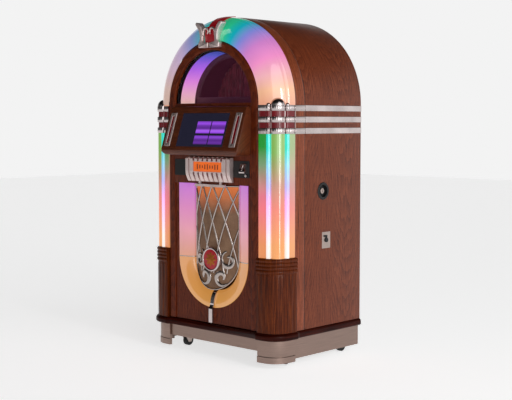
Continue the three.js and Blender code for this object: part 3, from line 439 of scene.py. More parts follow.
def lit_plastic(name, colour_of, glow=0.72, body=0.3, roughness=0.24):
    """Moulded acrylic over lamps: the colour comes from within and fades along the piece; a soft coat reflects."""
    material, tree, shader = new_material(name)
    where = add(tree, "ShaderNodeTexCoord")
    cloud = add(tree, "ShaderNodeTexNoise", {"Vector": where.outputs["Object"]}, Scale=9.0, Detail=1.0)
    level = add(tree, "ShaderNodeMapRange", {"Value": cloud.outputs["Fac"]}, To_Min=0.9, To_Max=1.08)
    shade = add(tree, "ShaderNodeMix", {6: colour_of(tree), 7: level.outputs[0]}, data_type="RGBA",
                blend_type="MULTIPLY")
    shade.inputs[0].default_value = 1.0
    tree.links.new(shade.outputs[2], shader.inputs["Emission Color"])
    shader.inputs["Emission Strength"].default_value = glow
    dim = add(tree, "ShaderNodeMix", {7: shade.outputs[2]}, data_type="RGBA")
    dim.inputs[0].default_value = body
    dim.inputs[6].default_value = (0, 0, 0, 1)
    tree.links.new(dim.outputs[2], shader.inputs["Base Color"])
    shader.inputs["Roughness"].default_value = roughness
    shader.inputs["Specular IOR Level"].default_value = 0.3
    shader.inputs["Coat Weight"].default_value = 0.9
    shader.inputs["Coat IOR"].default_value = 1.9
    shader.inputs["Coat Roughness"].default_value = 0.06
    return material


def metal(name, colour, roughness, brushed=None, scale=260.0):
    """Metal with faint handling marks; brushed gives the scratch directions as mapping scales."""
    material, tree, shader = new_material(name)
    where = add(tree, "ShaderNodeTexCoord").outputs["Object"]
    marks_at = add(tree, "ShaderNodeMapping", {"Vector": where})
    marks_at.inputs["Scale"].default_value = brushed or (12.0, 12.0, 12.0)
    marks = add(tree, "ShaderNodeTexNoise", {"Vector": marks_at.outputs[0]}, Scale=1.0, Detail=3.0)
    spread = 0.1 if brushed else 0.05
    rough = add(tree, "ShaderNodeMapRange", {"Value": marks.outputs["Fac"]}, To_Min=max(roughness - spread, 0.03),
                To_Max=roughness + spread)
    tree.links.new(rough.outputs[0], shader.inputs["Roughness"])
    tone = ramp(tree, marks.outputs["Fac"], [(0.3, colour), (0.7, shade_of(colour, 0.88))])
    tree.links.new(tone.outputs[0], shader.inputs["Base Color"])
    shader.inputs["Metallic"].default_value = 1.0
    if brushed:
        bump = add(tree, "ShaderNodeBump", {"Height": marks.outputs["Fac"]}, Strength=0.15, Distance=0.0002)
        tree.links.new(bump.outputs[0], shader.inputs["Normal"])
    return material


def shade_of(code, level):
    """Hex colour darkened or lightened by a factor."""
    return "#" + "".join(f"{min(255, int(int(code[k:k + 2], 16) * level)):02x}" for k in (1, 3, 5))


def plastic(name, colour, roughness, grain=1400.0, depth=0.00005, metallic=0.0, coat=0.0):
    """Moulded or painted surface: even colour, a fine spark-eroded grain and slight unevenness."""
    material, tree, shader = new_material(name)
    where = add(tree, "ShaderNodeTexCoord").outputs["Object"]
    skin = add(tree, "ShaderNodeTexNoise", {"Vector": where}, Scale=grain, Detail=2.0)
    cloud = add(tree, "ShaderNodeTexNoise", {"Vector": where}, Scale=14.0, Detail=2.0)
    tone = ramp(tree, cloud.outputs["Fac"], [(0.3, shade_of(colour, 0.9)), (0.7, shade_of(colour, 1.1))])
    tree.links.new(tone.outputs[0], shader.inputs["Base Color"])
    bump = add(tree, "ShaderNodeBump", {"Height": skin.outputs["Fac"]}, Strength=0.3, Distance=depth)
    tree.links.new(bump.outputs[0], shader.inputs["Normal"])
    rough = add(tree, "ShaderNodeMapRange", {"Value": cloud.outputs["Fac"]}, To_Min=roughness - 0.04,
                To_Max=roughness + 0.06)
    tree.links.new(rough.outputs[0], shader.inputs["Roughness"])
    shader.inputs["Metallic"].default_value = metallic
    shader.inputs["Coat Weight"].default_value = coat
    return material


def clear_glass(name):
    """Float glass: colourless, polished, a slight loss at the edges."""
    material, tree, shader = new_material(name)
    shader.inputs["Base Color"].default_value = hue("#eef2f2")
    shader.inputs["Transmission Weight"].default_value = 1.0
    shader.inputs["IOR"].default_value = 1.12
    where = add(tree, "ShaderNodeTexCoord").outputs["Object"]
    smear = add(tree, "ShaderNodeTexNoise", {"Vector": where}, Scale=4.0, Detail=2.0)
    rough = add(tree, "ShaderNodeMapRange", {"Value": smear.outputs["Fac"]}, To_Min=0.0, To_Max=0.02)
    tree.links.new(rough.outputs[0], shader.inputs["Roughness"])
    return material


def along_arch(tree):
    """0 at the right foot of the arch, 1 at the left foot, from the angle about the spring centre."""
    where = add(tree, "ShaderNodeTexCoord")
    parts = add(tree, "ShaderNodeSeparateXYZ", {"Vector": where.outputs["Object"]})
    rise = add(tree, "ShaderNodeMath", {0: parts.outputs["Z"]}, operation="SUBTRACT")
    rise.inputs[1].default_value = SPRING
    turn = add(tree, "ShaderNodeMath", {0: rise.outputs[0], 1: parts.outputs["X"]}, operation="ARCTAN2")
    part = add(tree, "ShaderNodeMath", {0: turn.outputs[0]}, operation="DIVIDE", use_clamp=True)
    part.inputs[1].default_value = math.pi
    return part.outputs[0]


def fade(stops, place=along_arch):
    """Colour along a piece: hex colours at places from 0 to 1."""
    return lambda tree: ramp(tree, place(tree), stops).outputs[0]


def column_colour(tree):
    """Pilaster colour by height, different on the flank by the door, on the lobe and on the flank by the bead; the
    flank by the bead is paler, a painted reflection of the pale studio.
    """
    height = object_axis(tree, "Z", LENS_LOW[2], LENS_HIGH[2])
    columns = [ramp(tree, height, stops).outputs[0] for stops in (
        [(0.1, "#f08c40"), (0.4, "#f86878"), (0.5, "#e86880"), (0.75, "#80a078"), (0.9, "#189830")],
        [(0.1, "#f8a050"), (0.4, "#f88470"), (0.6, "#c89078"), (0.85, "#88b858")],
        # Flank by the bead: paler than the others, painted reflection of the pale studio at a grazing angle.
        [(0.1, "#f0a060"), (0.4, "#f08c80"), (0.6, "#d09890"), (0.9, "#a0b880")])]
    around = add(tree, "ShaderNodeSeparateXYZ", {"Vector": add(tree, "ShaderNodeUVMap", uv_map="grain").outputs[0]})
    t = np.radians([0, 32.5, 62.5])
    run = [lengths(corner(np.linspace(0, end, 60), lobe(np.linspace(0, end, 60))))[-1] for end in t]
    colour = columns[0]
    for edge, column in zip(run[1:], columns[1:]):
        mask = add(tree, "ShaderNodeMapRange", {"Value": around.outputs["Y"]}, From_Min=edge - 3 * MM,
                   From_Max=edge + 3 * MM)
        mix = add(tree, "ShaderNodeMix", {0: mask.outputs[0], 6: colour, 7: column}, data_type="RGBA")
        colour = mix.outputs[2]
    return colour


def pilaster_height(tree):
    return object_axis(tree, "Z", LENS_LOW[2], LENS_HIGH[2])


def u_height(tree):
    return object_axis(tree, "Z", U_LOW[2], U_HIGH[2])


SIDE_VENEER = veneer("stained_oak_veneer", "#50200e", "#6e3119", "#834024")
# Same oak as the side, made darker for the door's front faces: painted shade of faces turned away from the key light.
FRONT_VENEER_PAINTED_SHADE = veneer("oak_front_painted_shade", "#431508", "#61240d", "#763316", gloss=0.4, lacquer=0.1)
BEAD_WOOD = veneer("stained_oak_bead", "#5e2a16", "#803e24", "#9c5032", gloss=0.28, figure=0.0)
SOCKET_WOOD = veneer("turned_oak", "#341003", "#562109", "#783813", gloss=0.22, figure=0.0, lacquer=0.08)
MOULDING_WOOD = veneer("dark_oak_moulding", "#1c0402", "#300a04", "#441409", gloss=0.3, figure=0.0, lacquer=0.05)
BOARD = plastic("painted_hardboard", "#2b211c", 0.7, grain=500.0, depth=0.0002)
CHROME = metal("chromed_zinc", "#d6cac8", 0.14)
DARK_CHROME = metal("chromed_wire", "#c0b4ae", 0.2)
KICK_METAL = metal("brushed_nickel_sheet", "#9c857b", 0.34, brushed=(8.0, 8.0, 900.0))
PEWTER = metal("satin_pewter", "#bfaea6", 0.3)
# Chrome for the front-facing crest, selector and console bars, rougher and paler than the chrome: the paler colour is
# painted light.
FRONT_CHROME_PAINTED_LIGHT = metal("satin_chrome_painted_light", "#f0dcd8", 0.5)
BLACK = plastic("black_moulded_abs", "#070608", 0.6)
RUBBER = plastic("black_rubber", "#121213", 0.75, grain=600.0)
MAROON = plastic("maroon_acrylic", "#5a0610", 0.2, coat=0.1, depth=0.00001)
DARK_RED = plastic("dark_maroon_paint", "#3a1820", 0.6)

# Stops run from the right foot (0) over the crown to the left foot (1); from 0.55 on they are paler than their mirror
# on the right: painted reflection of the bright studio.
ARCH_GLOW = lit_plastic("arch_acrylic", fade([
    (0.0, "#f0a888"), (0.056, "#fcc098"), (0.117, "#ffbcc4"), (0.183, "#fb98d2"), (0.256, "#d888d4"),
    (0.322, "#8a92e8"), (0.372, "#10b4c8"), (0.422, "#2ac892"), (0.478, "#2ab884"), (0.55, "#30b4b4"),
    (0.64, "#8a96d0"), (0.72, "#c4aed4"), (0.83, "#dcbcd0"), (0.92, "#e2c2b8"), (1.0, "#dcb8a8")]), glow=0.74)
FLANK_GLOW = lit_plastic("pilaster_acrylic", column_colour, glow=0.74)
TUBE_GLOW = lit_plastic("bubble_tube_glass", fade([
    (0.1, "#fff0e8"), (0.25, "#f8d8f8"), (0.45, "#f8b8ff"), (0.58, "#b8b8ff"), (0.75, "#88d8f8"),
    (0.88, "#18e0d0")], pilaster_height), glow=0.85)
U_GLOW = lit_plastic("grille_surround_acrylic", fade([
    (0.0, "#e09c48"), (0.388, "#e09858"), (0.394, "#e09878"), (0.6, "#e898a8"), (0.8, "#e080c0"),
    (1.0, "#c86cd8")], u_height), glow=0.7)


def dress(material, *names, bevel=0.0, slot=None):
    """Gives CAD nodes a material and softened edges."""
    for name in names:
        node = NODES[name]
        for place in node.material_slots:
            place.material = material
        if bevel:
            weld = node.modifiers.new("weld", "WELD")
            weld.merge_threshold = 1e-5
            edge = node.modifiers.new("soft_edges", "BEVEL")
            edge.width = bevel * MM
            edge.segments = 3
            edge.limit_method = "ANGLE"
            edge.angle_limit = math.radians(35)


def sides(stem):
    return f"{stem}_right", f"{stem}_left"


# ---------------------------------------------------------------- cabinet
def carve(obj, *tools):
    """Cuts closed lofts out of a piece; the boolean's result is kept as the piece's own mesh."""
    for rings in tools:
        tool = loft("tool", rings, "cabinet", BLACK)
        modifier = obj.modifiers.new("cut", "BOOLEAN")
        modifier.object = tool
        modifier.solver = "EXACT"
        mesh = bpy.data.meshes.new_from_object(obj.evaluated_get(bpy.context.evaluated_depsgraph_get()))
        obj.modifiers.clear()
        obj.data = mesh
        mesh.set_sharp_from_angle(angle=math.radians(30))
        bpy.data.objects.remove(tool)


def round_tool(centre, radius, depth):
    """Round cutter along X."""
    a = np.linspace(0, 2 * math.pi, 64, endpoint=False)
    ring = np.stack([0 * a, radius * np.cos(a), radius * np.sin(a)], -1)
    return np.stack([ring + np.add(centre, (d, 0, 0)) for d in (-depth, depth)])


def make_cabinet():
    wood = 18 * MM
    y0, y1 = SHELL_LOW[1], SHELL_HIGH[1]
    section = rounded([(HALF - wood, y0), (HALF, y0), (HALF, y1), (HALF - wood, y1)], [0.8 * MM, 4 * MM, 1 * MM, 0.8 * MM], 3)
    shell = loft("veneered_shell", arch_rings(section, FOOT), "cabinet", SIDE_VENEER, ["cabinet_shell"])
    cup_low, cup_high = span("lock_cup")
    dial_low, dial_high = span("dial_plate")
    carve(shell, round_tool((HALF, *(0.5 * (cup_low + cup_high))[1:]), 31 * MM, 30 * MM),
          round_tool((HALF, *(0.5 * (dial_low + dial_high))[1:]), 5 * MM, 30 * MM))
    y0, y1 = BEAD_LOW[1], BEAD_HIGH[1] - GAP
    nose = [(HALF - wood, y1), (HALF, y1), (HALF, y1 - 22 * MM), (HALF - 1.2 * MM, y0 + 20 * MM),
            (HALF - 3.4 * MM, y0 + 8 * MM), (HALF - 6.5 * MM, y0 + 2 * MM), (HALF - 10 * MM, y0), (HALF - wood, y0)]
    loft("bullnose_bead", arch_rings(rounded(nose, [1 * MM, 4 * MM] + [9 * MM] * 5 + [1 * MM]), FOOT), "cabinet",
         BEAD_WOOD, ["front_bead"])
    seam = 0.5 * (SHELL_LOW[1] + BEAD_HIGH[1])
    # A black strip set deep in the groove between shell and bead: painted shadow of the seam.
    dark = [(HALF - 5 * MM, seam - 2.4 * MM), (HALF - 1 * MM, seam - 2.4 * MM), (HALF - 1 * MM, seam + 2.4 * MM),
            (HALF - 5 * MM, seam + 2.4 * MM)]
    loft("seam_painted_shadow", arch_rings(np.array(dark), FOOT), "cabinet", BLACK)
    make_moulding()
    for side, name in ((RIGHT, "right"), (LEFT, "left")):
        make_pilaster(side, name)
        make_corner_shoe(side, name)


def make_moulding():
    """Bullnosed base moulding swept round the footprint, swelling under both pillars."""
    low, high = span("base_moulding")
    out = high[0] - CORNER_X - CORNER_RX - PILLAR_OUT
    z0, z1 = low[2], high[2]
    profile = rounded([(-40 * MM, z0), (out - 8 * MM, z0), (out, z0 + 5 * MM), (out, z1 - 9 * MM),
                       (out - 8 * MM, z1), (-40 * MM, z1)], [1 * MM, 4 * MM, 7 * MM, 9 * MM, 5 * MM, 1 * MM], 5)
    path, rim = footprint(0, high[1]), footprint(1, high[1])
    plan = path[:, None] + (rim - path)[:, None] * profile[None, :, :1]
    rings = np.concatenate([plan, np.broadcast_to(profile[None, :, 1:], plan.shape[:2] + (1,))], -1)
    loft("plinth_moulding", rings, "cabinet", MOULDING_WOOD, ["base_moulding"], sharp=50)


def plan_rings(outline_of, levels, side):
    """Outline in x, y for each level, stacked along Z and mirrored for the left side."""
    return np.stack([mirror(np.column_stack([outline_of(z), np.full(len(outline_of(z)), z)]), side) for z in levels])


def make_pilaster(side, name):
    t = np.linspace(0, math.pi / 2, 161)
    back = np.linspace(math.pi / 2, 0, 24)
    z0, z1 = LENS_LOW[2], LENS_HIGH[2]
    groove = TUBE_R + 0.4 * MM

    def lens_line(_):
        out = lobe(t)
        for at in TUBE_T:
            near = (t - at) * 0.5 * (CORNER_RX + CORNER_RY)
            inside = np.clip(groove ** 2 - near ** 2, 0, None)
            out = np.where(inside > 0, TUBE_OUT - np.sqrt(inside), out)
        return np.vstack([corner(t, out), corner(back, -16 * MM)])

    loft(f"pilaster_lens_{name}_clear", plan_rings(lens_line, [z0, z1], side), "cabinet", FLANK_GLOW,
         [f"pilaster_lens_{name}"])
    tubes = []
    a = np.linspace(0, 2 * math.pi, 24, endpoint=False)
    low, high = span(f"pilaster_tubes_{name}")
    for at in TUBE_T:
        centre = corner(at, TUBE_OUT)
        rings = plan_rings(lambda z: centre + TUBE_R * np.stack([np.cos(a), np.sin(a)], -1),
                           np.linspace(low[2], high[2], 3), side)
        tubes.append(rings)
    bundle(f"bubble_tubes_{name}", tubes, "cabinet", TUBE_GLOW, [f"pilaster_tubes_{name}"])
    make_socket(side, name)
    make_bands(side, name)


def make_socket(side, name):
    """Turned wooden cup: four soft rings at the top, then broad shallow flutes down to the moulding."""
    low, high = span(f"pilaster_socket_{name}")
    z0, z1 = low[2], high[2]
    t = even(0, math.pi / 2, 241)
    across = np.linspace(0, 1, len(t))
    back = np.linspace(math.pi / 2, 0, 20)
    ring_z = z1 - np.array([57, 41, 25, 9]) * MM

    def outline(z):
        near = np.abs(z - ring_z).min() / (7.5 * MM)
        if near < 1:
            out = np.full_like(t, 1 * MM + 4 * MM * math.sqrt(1 - near ** 2))
        else:
            fade_in = np.clip((ring_z[0] - 9 * MM - z) / (14 * MM), 0, 1)
            out = fade_in * 1.3 * MM * np.abs(np.sin(9 * math.pi * across))
        return np.vstack([pillar(t, out), corner(back, -15 * MM)])

    levels = np.concatenate([np.linspace(z0, ring_z[0] - 24 * MM, 6), ring_z[0] - np.array([20, 16, 12, 9]) * MM,
                             (ring_z[:, None] + np.linspace(-7.4, 7.4, 13) * MM).ravel(), [z1]])
    loft(f"fluted_socket_{name}", plan_rings(outline, levels, side), "cabinet", SOCKET_WOOD,
         [f"pilaster_socket_{name}"], sharp=50)


def make_bands(side, name):
    """Chrome bands over the pilaster's lobes with fine flutes, domes on top, maroon sleeves between."""
    low, high = span(f"band_sleeve_{name}")
    z0, top = low[2], span(f"band_sleeve_{name}")[1][2] + 3.3 * MM
    band, pitch = 25 * MM, 49 * MM
    t = np.linspace(0, math.pi / 2, 241)
    flutes = 0.9 * MM * np.abs(np.sin(52 * t))

    def wall(inner, outer, fluted):
        out = np.maximum(lobe(t), tube_bump(t)) + outer + (flutes if fluted else 0)
        return np.vstack([corner(t, out), corner(t[::-1], (np.maximum(lobe(t), tube_bump(t)) + inner)[::-1])])

    sets = []
    for k in range(3):
        b0 = z0 + k * pitch
        edge = 1.5 * MM
        levels = [(b0, -1.5 * MM), (b0 + edge, 0), (b0 + band - edge, 0), (b0 + band, -1.5 * MM)]
        sets.append(np.stack([mirror(np.column_stack([wall(-2 * MM, 2.1 * MM + d, True), np.full(2 * len(t), z)]), side)
                              for z, d in levels]))
        arm = rounded([(HALF + GAP, SHELL_LOW[1] - 2.3 * MM), (HALF + 3.3 * MM, SHELL_LOW[1] - 2.3 * MM),
                       (HALF + 3.3 * MM, CORNER_Y - 5 * MM), (HALF + GAP, CORNER_Y - 5 * MM)], 1 * MM, 3)
        sets.append(np.stack([mirror(np.column_stack([inset(arm, d), np.full(len(arm), z)]), side)
                              for z, d in [(b0, 0.8 * MM), (b0 + edge, 0), (b0 + band - edge, 0), (b0 + band, 0.8 * MM)]]))
    for at in (math.radians(1.2), *(TUBE_T + [math.radians(5.7), -math.radians(5.7)]), math.radians(88.8)):
        post = np.array([corner(at + d, o) for d, o in ((-0.012, -2 * MM), (0.012, -2 * MM), (0.012, 2.6 * MM),
                                                        (-0.012, 2.6 * MM))])
        sets.append(np.stack([mirror(np.column_stack([post, np.full(4, z)]), side) for z in (z0, z0 + 2 * pitch)]))
    lid = np.vstack([corner(t, np.maximum(lobe(t), tube_bump(t)) + 2.5 * MM), corner(np.linspace(math.pi / 2, 0, 20),
                                                                                  -18 * MM)])
    sets.append(np.stack([mirror(np.column_stack([lid, np.full(len(lid), z)]), side) for z in (top - 3 * MM, top)]))
    for centre, radius in [(corner(LOBE_T, -5 * MM), 31 * MM)] + [(corner(at, TUBE_OUT), TUBE_R) for at in TUBE_T]:
        a = np.linspace(0, 2 * math.pi, 36, endpoint=False)
        rise = np.linspace(0, math.pi / 2 * 0.995, 12)
        flat = centre + radius * np.cos(rise)[:, None, None] * np.stack([np.cos(a), np.sin(a)], -1)
        z = top + radius * np.sin(rise)
        sets.append(mirror(np.concatenate([flat, np.broadcast_to(z[:, None, None], flat.shape[:2] + (1,))], -1), side))
    bundle(f"chrome_bands_{name}", sets, "cabinet", CHROME, [f"band_casting_{name}"])
    sleeve = wall(-5 * MM, -2.3 * MM, False)
    loft(f"maroon_sleeve_{name}", np.stack([mirror(np.column_stack([sleeve, np.full(len(sleeve), z)]), side)
                                            for z in (z0, z0 + 2 * pitch + band - 4 * MM)]), "cabinet", MAROON,
         [f"band_sleeve_{name}"])


def make_corner_shoe(side, name):
    """Curved metal shoe set in under the pillar, with a proud foot and its ends turned back to the kick plates."""
    low, high = span(f"corner_casting_{name}")
    t = even(0, math.pi / 2, 60)
    thick = 5 * MM
    near = abs((high if side == LEFT else low)[0])
    flange_y, flange_x = CORNER_Y - CORNER_RY + 6 * MM + thick, CORNER_X + CORNER_RX - 6 * MM - thick

    def wall(out):
        outer, inner = pillar(t, out), pillar(t[:-6], SHOE_OUT - thick)
        return np.vstack([[near, flange_y], [near, outer[0, 1]], outer, [flange_x, CORNER_Y],
                          [flange_x, CORNER_Y - thick], inner[::-1], [near + thick, inner[0, 1]],
                          [near + thick, flange_y]])

    z0, z1 = low[2], high[2]
    step = z0 + 28 * MM
    levels = [(z0, 0.8), (z0 + 1.5 * MM, 2), (step - 1 * MM, 2), (step, 1.2), (step + 0.4 * MM, -1.5),
              (step + 2.4 * MM, -1.5), (step + 2.8 * MM, -0.4), (step + 4 * MM, 0), (z1 - 1 * MM, 0), (z1, -0.8)]
    rings = []
    for z, out in levels:
        line = wall(SHOE_OUT + out * MM)
        rings.append(mirror(np.column_stack([line, np.full(len(line), z)]), side))
    loft(f"corner_shoe_{name}", rings, "cabinet", KICK_METAL, [f"corner_casting_{name}"])


def make_arch_lens():
    """Half-round plastic arch: quarter-ellipse section with two thin moulded ridges near its outer edge."""
    t = np.linspace(0, math.pi / 2, 61)
    ridge = sum(2.2 * MM * np.clip(1 - ((np.degrees(t) - at) / 2.2) ** 2, 0, None) for at in (64, 74))
    section = np.vstack([corner(t, ridge), corner(np.linspace(math.pi / 2, 0, 20), -4 * MM)])
    foot = span("arch_lens")[0][2]
    loft("arch_plastic", arch_rings(section, foot, 150), "cabinet", ARCH_GLOW, ["arch_lens"])


def make_display():
    """Display behind the window: lit reveal, maroon inner arch with a shelf, pleated curtain behind."""
    low, high = TUNNEL_LOW, TUNNEL_HIGH
    r, y0 = high[0], low[1]
    wall = [(r - 5 * MM, y0 + 3 * MM), (r, y0), (r, high[1]), (r - 5 * MM, high[1])]
    loft("display_surround", arch_rings(wall, SPRING - 1 * MM, 90), "cabinet", DARK_RED, ["display_tunnel"])
    band = [(r - 7 * MM, y0), (r - 6 * MM, y0), (r - 6 * MM, y0 + 88 * MM), (r - 7 * MM, y0 + 88 * MM)]
    loft("display_light_band", arch_rings(band, SILL, 90), "cabinet", LIGHT_BAND)
    slab("display_floor", [(-r, SILL - 6 * MM), (r, SILL - 6 * MM), (r, SILL), (-r, SILL)], (y0, high[1]), 1 * MM,
         "cabinet", DARK_RED)
    inner = [(r - 7 * MM, y0 + 89 * MM), (r - 7 * MM, y0 + 101 * MM), (r - 30 * MM, y0 + 101 * MM),
             (r - 30 * MM, y0 + 95 * MM), (r - 22 * MM, y0 + 89 * MM)]
    loft("display_inner_arch", arch_rings(inner, SILL, 90), "cabinet", DARK_RED)
    slab("display_step", [(-r + 8 * MM, SILL), (r - 8 * MM, SILL), (r - 8 * MM, SILL + 30 * MM),
                          (-r + 8 * MM, SILL + 30 * MM)], (y0 + 89 * MM, y0 + 118 * MM), 3 * MM, "cabinet", DARK_RED)
    c_low, c_high = span("curtain")
    half = c_high[0]
    x = np.linspace(-half, half, 481)
    top = SPRING + np.sqrt(np.clip(half ** 2 - x ** 2, 0, None)) * 0.985
    rows = np.linspace(0, 1, 24)[:, None]
    z = c_low[2] + rows * (np.maximum(top, c_low[2] + 2 * MM) - c_low[2])
    phase = 2 * math.pi * x / (24 * MM) + 0.5 * np.sin(x * 37)
    depth = (0.55 + 0.45 * rows) * 5 * MM * np.sin(phase) + 1.2 * MM * np.sin(2.3 * phase)
    y = 0.5 * (c_low[1] + c_high[1]) + depth
    grid("pleated_curtain", np.stack([np.broadcast_to(x, z.shape), y, z], -1), "cabinet", curtain_cloth(),
         ["curtain"], thick=1 * MM)


def curtain_cloth():
    """Maroon stage velvet, woven with a cut pile: dark folds, a soft sheen on the ridges."""
    material, tree, shader = new_material("maroon_velvet")
    where = add(tree, "ShaderNodeUVMap", uv_map="grain").outputs[0]
    pile = add(tree, "ShaderNodeTexNoise", {"Vector": where}, Scale=900.0, Detail=2.0)
    cloud = add(tree, "ShaderNodeTexNoise", {"Vector": where}, Scale=30.0, Detail=3.0)
    tone = ramp(tree, cloud.outputs["Fac"], [(0.3, "#4a1c28"), (0.7, "#6a2838")])
    tree.links.new(tone.outputs[0], shader.inputs["Base Color"])
    tree.links.new(tone.outputs[0], shader.inputs["Emission Color"])
    shader.inputs["Emission Strength"].default_value = 0.35  # hidden lamps inside the display
    bump = add(tree, "ShaderNodeBump", {"Height": pile.outputs["Fac"]}, Strength=0.4, Distance=0.0005)
    tree.links.new(bump.outputs[0], shader.inputs["Normal"])
    shader.inputs["Roughness"].default_value = 0.85
    shader.inputs["Sheen Weight"].default_value = 0.5
    shader.inputs["Sheen Roughness"].default_value = 0.4
    return material


# ---------------------------------------------------------------- door
def make_door():
    half, y0, y1 = DOOR_HIGH[0], DOOR_LOW[1], DOOR_HIGH[1]
    foot = DOOR_LOW[2]
    frame_section = rounded([(FRAME_R, y0 + 1 * MM), (FRAME_R + 4 * MM, y0), (half - 6 * MM, y0), (half, y0 + 6 * MM),
                             (half, y1), (FRAME_R, y1)], [1 * MM, 3 * MM, 6 * MM, 6 * MM, 1 * MM, 1 * MM])
    loft("door_arch_and_stiles", arch_rings(frame_section, foot, 130), "door", FRONT_VENEER_PAINTED_SHADE, ["door_frame"])
    window_r = TUNNEL_HIGH[0] - 6 * MM
    rabbet = y0 + 16 * MM
    reveal = rounded([(window_r, rabbet), (FRAME_R - GAP, rabbet), (FRAME_R - GAP, y1), (window_r, y1)], 1 * MM, 2)
    loft("window_reveal", arch_rings(reveal, SILL, 110), "door", BLACK)
    top = U_HIGH[2] + 1 * MM
    slab("door_middle_rail", [(-FRAME_R + 0.2 * MM, top), (FRAME_R - 0.2 * MM, top), (FRAME_R - 0.2 * MM, SILL),
                              (-FRAME_R + 0.2 * MM, SILL)], (y0, y1), 2 * MM, "door", FRONT_VENEER_PAINTED_SHADE)
    make_lower_panel(foot, top, U_LOW[1], y1)
    make_u_lens()
    make_console()
    make_grille()
    make_badge()


def make_lower_panel(foot, top, y0, y1):
    """Flat veneered panel around the U opening: ruled between the opening's edge and the panel's outline."""
    r = U_OUT + 1 * MM
    a = np.radians(np.concatenate([np.linspace(180, 225, 12)[:-1], np.linspace(225, 315, 61), np.linspace(315, 360, 12)[1:]]))
    inner = np.stack([r * np.cos(a), U_CENTRE + r * np.sin(a)], -1)
    wide, deep = FRAME_R - 0.2 * MM, U_CENTRE - foot
    reach = np.minimum(wide / np.maximum(np.abs(np.cos(a)), 1e-6), deep / np.maximum(-np.sin(a), 1e-6))
    outer = np.stack([reach * np.cos(a), U_CENTRE + reach * np.sin(a)], -1)
    inner = np.vstack([[-r, top], inner, [r, top]])
    outer = np.vstack([[-wide, top], outer, [wide, top]])
    lip = 2 * MM
    towards = (outer - inner) / np.linalg.norm(outer - inner, axis=1, keepdims=True)
    rows = [(inner, y1), (inner, y0 + lip), (inner + towards * lip, y0), (outer, y0), (outer, y1)]
    rings = np.stack([np.column_stack([line[:, 0], np.full(len(line), y), line[:, 1]]) for line, y in rows], 1)
    panel = loft("lower_panel", rings, "door", FRONT_VENEER_PAINTED_SHADE)
    flat_map(panel, 2, 0)


def make_u_lens():
    """Quarter-ellipse plastic trough from the panel down to the grille, with clips where its halves meet."""
    phi = np.linspace(0, math.pi / 2, 25)
    wide, deep = U_OUT - U_IN, U_HIGH[1] - U_LOW[1]
    y1 = U_HIGH[1]
    outer = np.stack([U_OUT - wide * np.sin(phi), y1 - deep * np.cos(phi)], -1)
    inner = np.stack([U_OUT - (wide - 4 * MM) * np.sin(phi), y1 - (deep - 4 * MM) * np.cos(phi)], -1)[::-1]
    loft("grille_surround", u_rings(np.vstack([outer, inner]), U_HIGH[2]), "door", U_GLOW, ["u_lens"])
    joint = U_CENTRE + 1 * MM
    line = np.vstack([outer - [0, 0.8 * MM], (outer + [0, 1.5 * MM])[::-1]])
    sets = [np.stack([mirror(np.column_stack([line, np.full(len(line), z)]), side)
                      for z in (joint - 2 * MM, joint + 2 * MM)]) for side in (RIGHT, LEFT)]
    bundle("surround_joint_strips", sets, "door", DARK_CHROME)


FACE_LOW, FACE_HIGH = span("touch_screen")
FACE_RISE, FACE_RUN = 147.5 * MM, 51 * MM
FACE_TALL = math.hypot(FACE_RISE, FACE_RUN)
FACE_UP = np.array([0, FACE_RUN, FACE_RISE]) / FACE_TALL
FACE_IN = np.array([0, FACE_RISE, -FACE_RUN]) / FACE_TALL
FACE_FOOT = np.array([0, FACE_LOW[1], FACE_HIGH[2] - FACE_RISE + 1 * MM * FACE_RUN / FACE_TALL]) - FACE_IN * 1 * MM


def on_face(x, v, depth):
    """Point on the console's sloping face: x across, v from the foot (0) to the top (1), depth into the wood."""
    return FACE_FOOT + FACE_UP * v * FACE_TALL + FACE_IN * depth + np.array([x, 0, 0])


def face_block(x0, x1, v0, v1, low, high, radius=0.0):
    """Two rings that make a block standing on the console's face, its corners rounded."""
    ring = np.array([(x0, v0 * FACE_TALL), (x1, v0 * FACE_TALL), (x1, v1 * FACE_TALL), (x0, v1 * FACE_TALL)])
    ring = rounded(ring, radius, 4) if radius else ring
    return np.stack([np.stack([on_face(x, v / FACE_TALL, depth) for x, v in ring]) for depth in (low, high)])


def make_console():
    dress(BLACK, "service_plate", bevel=0.8)
    make_console_housing()
    dress(SCREEN, "touch_screen", bevel=0.8)
    dress(FRONT_CHROME_PAINTED_LIGHT, *sides("console_bar"), bevel=1.2)
    dress(CHROME, "coin_entry", "reject_button", "centre_trim", bevel=1.2)
    half = FACE_HIGH[0]
    tiles = [face_block((2 * u0 - 1) * half, (2 * u1 - 1) * half, v0, v1, 0.6 * MM, 0.97 * MM, 2 * MM)
             for u0, u1 in ((0.365, 0.655), (0.675, 0.965)) for v0, v1 in ((0.40, 0.75), (0.07, 0.33))]
    bundle("screen_tiles", tiles, "door", TILE, sharp=20)
    middle = 0.5 * (span("console_bar_right")[0][0] + span("console_bar_right")[1][0])
    inlays = [face_block(side * middle - 6.2 * MM, side * middle + 6.2 * MM, 0.1, 0.9, -1.2 * MM, -0.6 * MM, 1 * MM)
              for side in (RIGHT, LEFT)]
    bundle("console_bar_inlays", inlays, "door", MAROON, sharp=20)
    screws = [face_block(side * middle - 3.5 * MM, side * middle + 3.5 * MM, v - 0.022, v + 0.022, -4 * MM, -3 * MM, 3.2 * MM)
              for side in (RIGHT, LEFT) for v in (0.05, 0.95)]
    bundle("console_bar_screws", screws, "door", DARK_CHROME, sharp=20)
    make_selector()


